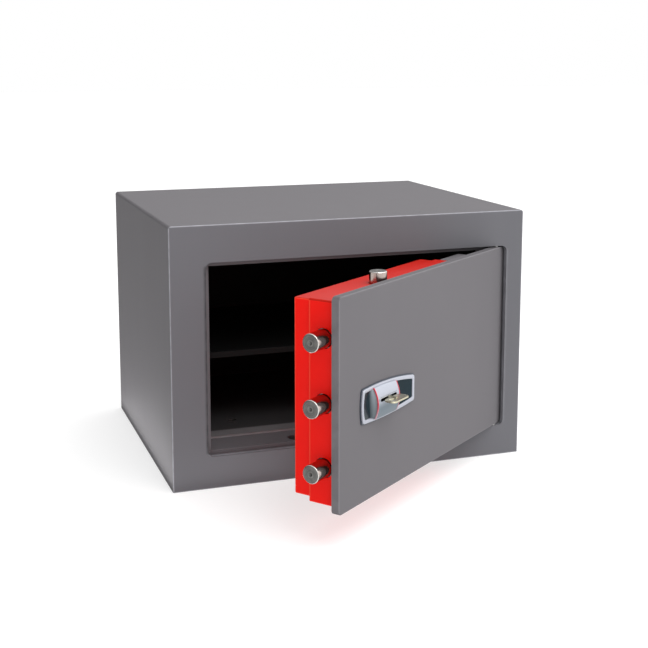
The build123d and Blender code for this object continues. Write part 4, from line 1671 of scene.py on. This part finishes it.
    def dress(self, nodes: Mapping[str, Object], subparts: Sequence[Mapping[str, str]]) -> None:
        """Give every node of the frame its finish.

        Args:
            nodes: The frame's objects by name.
            subparts: The record's list of node and material slot.
        """
        made: dict[str, Material] = {}
        for part in subparts:
            node, slot = part["node"], part["material_slot"]
            key = node if node in self.by_node else slot
            if key not in made:
                made[key] = self.by_node.get(node, self.by_slot[slot]).build(f"{key}_finish")
            for place in nodes[node].material_slots:
                place.material = made[key]
            LOG.info("%s wears %s", node, made[key].name)


# Studio


@dataclass(frozen=True)
class StudioCamera:
    """The camera's place and lens, as fitted to the corners of the body in the photograph."""

    place: Point = (-0.5503, -1.6643, 0.5682)
    yaw: float = 0.3335
    pitch: float = 0.1572
    focal_px: float = 1195.3
    axis_row_px: float = 240.0

    def build(self) -> None:
        """Make the scene's camera. The lens axis meets the picture at a row above its middle."""
        data = bpy.data.cameras.new("camera")
        data.sensor_width = SENSOR
        data.lens = self.focal_px / PHOTO_SIDE_PX * SENSOR
        data.shift_y = (self.axis_row_px - PHOTO_SIDE_PX / 2) / PHOTO_SIDE_PX
        made = linked("camera", data)
        made.location = self.place
        made.rotation_euler = (math.pi / 2 - self.pitch, 0.0, -self.yaw)
        bpy.context.scene.camera = made


@dataclass(frozen=True)
class SoftBox:
    """One large soft light."""

    place: Point
    aim: Point
    size: tuple[float, float]
    power: float

    def build(self, name: str) -> None:
        """Hang the light and turn it to its aim.

        Args:
            name: Its name.
        """
        data = bpy.data.lights.new(name, "AREA")
        data.shape, data.energy = "RECTANGLE", self.power
        data.size, data.size_y = self.size
        made = linked(name, data)
        made.visible_camera = False
        made.location = self.place
        made.rotation_euler = (Vector(self.place) - Vector(self.aim)).to_track_quat("Z", "Y").to_euler()


@dataclass(frozen=True)
class Surround:
    """Light from all round: brighter from above, from the right and from the front.

    To the camera it is white. To the rest its strength is level + rise z + right x - front y, but
    never under the least, where x, y and z are the parts of the direction.
    """

    level: float = 0.62
    rise: float = 0.92
    right: float = 0.95
    front: float = 0.2
    least: float = 0.05

    def build(self) -> None:
        """Make the scene's world."""
        world = bpy.data.worlds.new("surround")
        bpy.context.scene.world = world
        world.use_nodes = True
        s = Shader.on(world.node_tree)
        x, y, z = s.axes(s.coordinates())
        strength = (self.level + z * self.rise + x * self.right - y * self.front).most(self.least)
        lit, seen = (s.node("ShaderNodeBackground", {}, {"Color": (1.0, 1.0, 1.0), "Strength": level})
                     for level in (strength, 1.0))
        ray = s.node("ShaderNodeLightPath", {}, {})
        mix = s.node("ShaderNodeMixShader", {}, {0: ray.outputs["Is Camera Ray"], 1: lit.outputs[0],
                                                 2: seen.outputs[0]})
        s.put(world.node_tree.nodes["World Output"].inputs["Surface"], mix.outputs[0])


@dataclass(frozen=True)
class Studio:
    """A plain pale floor that glows a little, a white surround and soft light."""

    floor_side: float = 30.0
    floor_drop: float = 0.2 * MM
    floor_colour: Colour = (0.48, 0.48, 0.48)
    floor_glow: float = 0.56
    floor_cloud: Noise = Noise(3.0)
    lights: tuple[SoftBox, ...] = (
        SoftBox(place=(0.5, -1.5, 2.4), aim=(0.0, 0.0, 0.1), size=(1.8, 1.8), power=30.0),
        SoftBox(place=(2.4, -1.6, 1.0), aim=(0.1, -0.2, 0.2), size=(1.2, 1.2), power=12.0),
        SoftBox(place=(-0.3, 0.0, 0.004), aim=(-0.3, 0.0, 1.0), size=(0.08, 0.44), power=0.3),
        SoftBox(place=(-0.17, -0.26, 0.004), aim=(-0.17, -0.26, 1.0), size=(0.16, 0.08), power=0.05),
    )

    def floor(self) -> None:
        """A wide pale floor just under the safe."""
        half, level = self.floor_side / 2, -self.floor_drop
        around = [(x * half, y * half, level) for x, y in ((-1, -1), (1, -1), (1, 1), (-1, 1))]
        mesh = bpy.data.meshes.new("floor")
        mesh.from_pydata(around, [], [(0, 1, 2, 3)])
        made = linked("floor", mesh)
        s = Shader("floor_finish")
        colour = s.shades(s.noise(self.floor_cloud), self.floor_colour, 1.0, 1.02)
        mesh.materials.append(s.finish(Base_Color=colour, Roughness=0.8, Specular_IOR_Level=0.1,
                                       Emission_Color=(1.0, 1.0, 1.0), Emission_Strength=self.floor_glow))

    def build(self) -> None:
        """Set the floor, the surround, the lights and a plain view transform."""
        self.floor()
        Surround().build()
        for number, light in enumerate(self.lights):
            light.build(f"soft_box_{number}")
        bpy.context.scene.view_settings.view_transform = "Standard"


def corners(box: tuple[Sequence[float], Sequence[float]]) -> list[list[float]]:
    """A box as two plain lists of numbers."""
    return [[float(v) for v in corner] for corner in box]


def main() -> None:
    """Load the frame, dress it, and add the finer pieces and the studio."""
    logging.basicConfig(level=logging.INFO, format="%(name)s: %(message)s")
    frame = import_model()
    StudioCamera().build()
    Studio().build()
    door = DoorFrame.read(frame["joints"])
    Wardrobe(door).dress(frame["nodes"], frame["record"]["subparts"])
    assemblies: tuple[type[Assembly], ...] = (LockingBolts, LockPlate, DoorKey, CoverScrews)
    for assembly in assemblies:
        assembly(door).build()


if __name__ == "__main__":
    main()
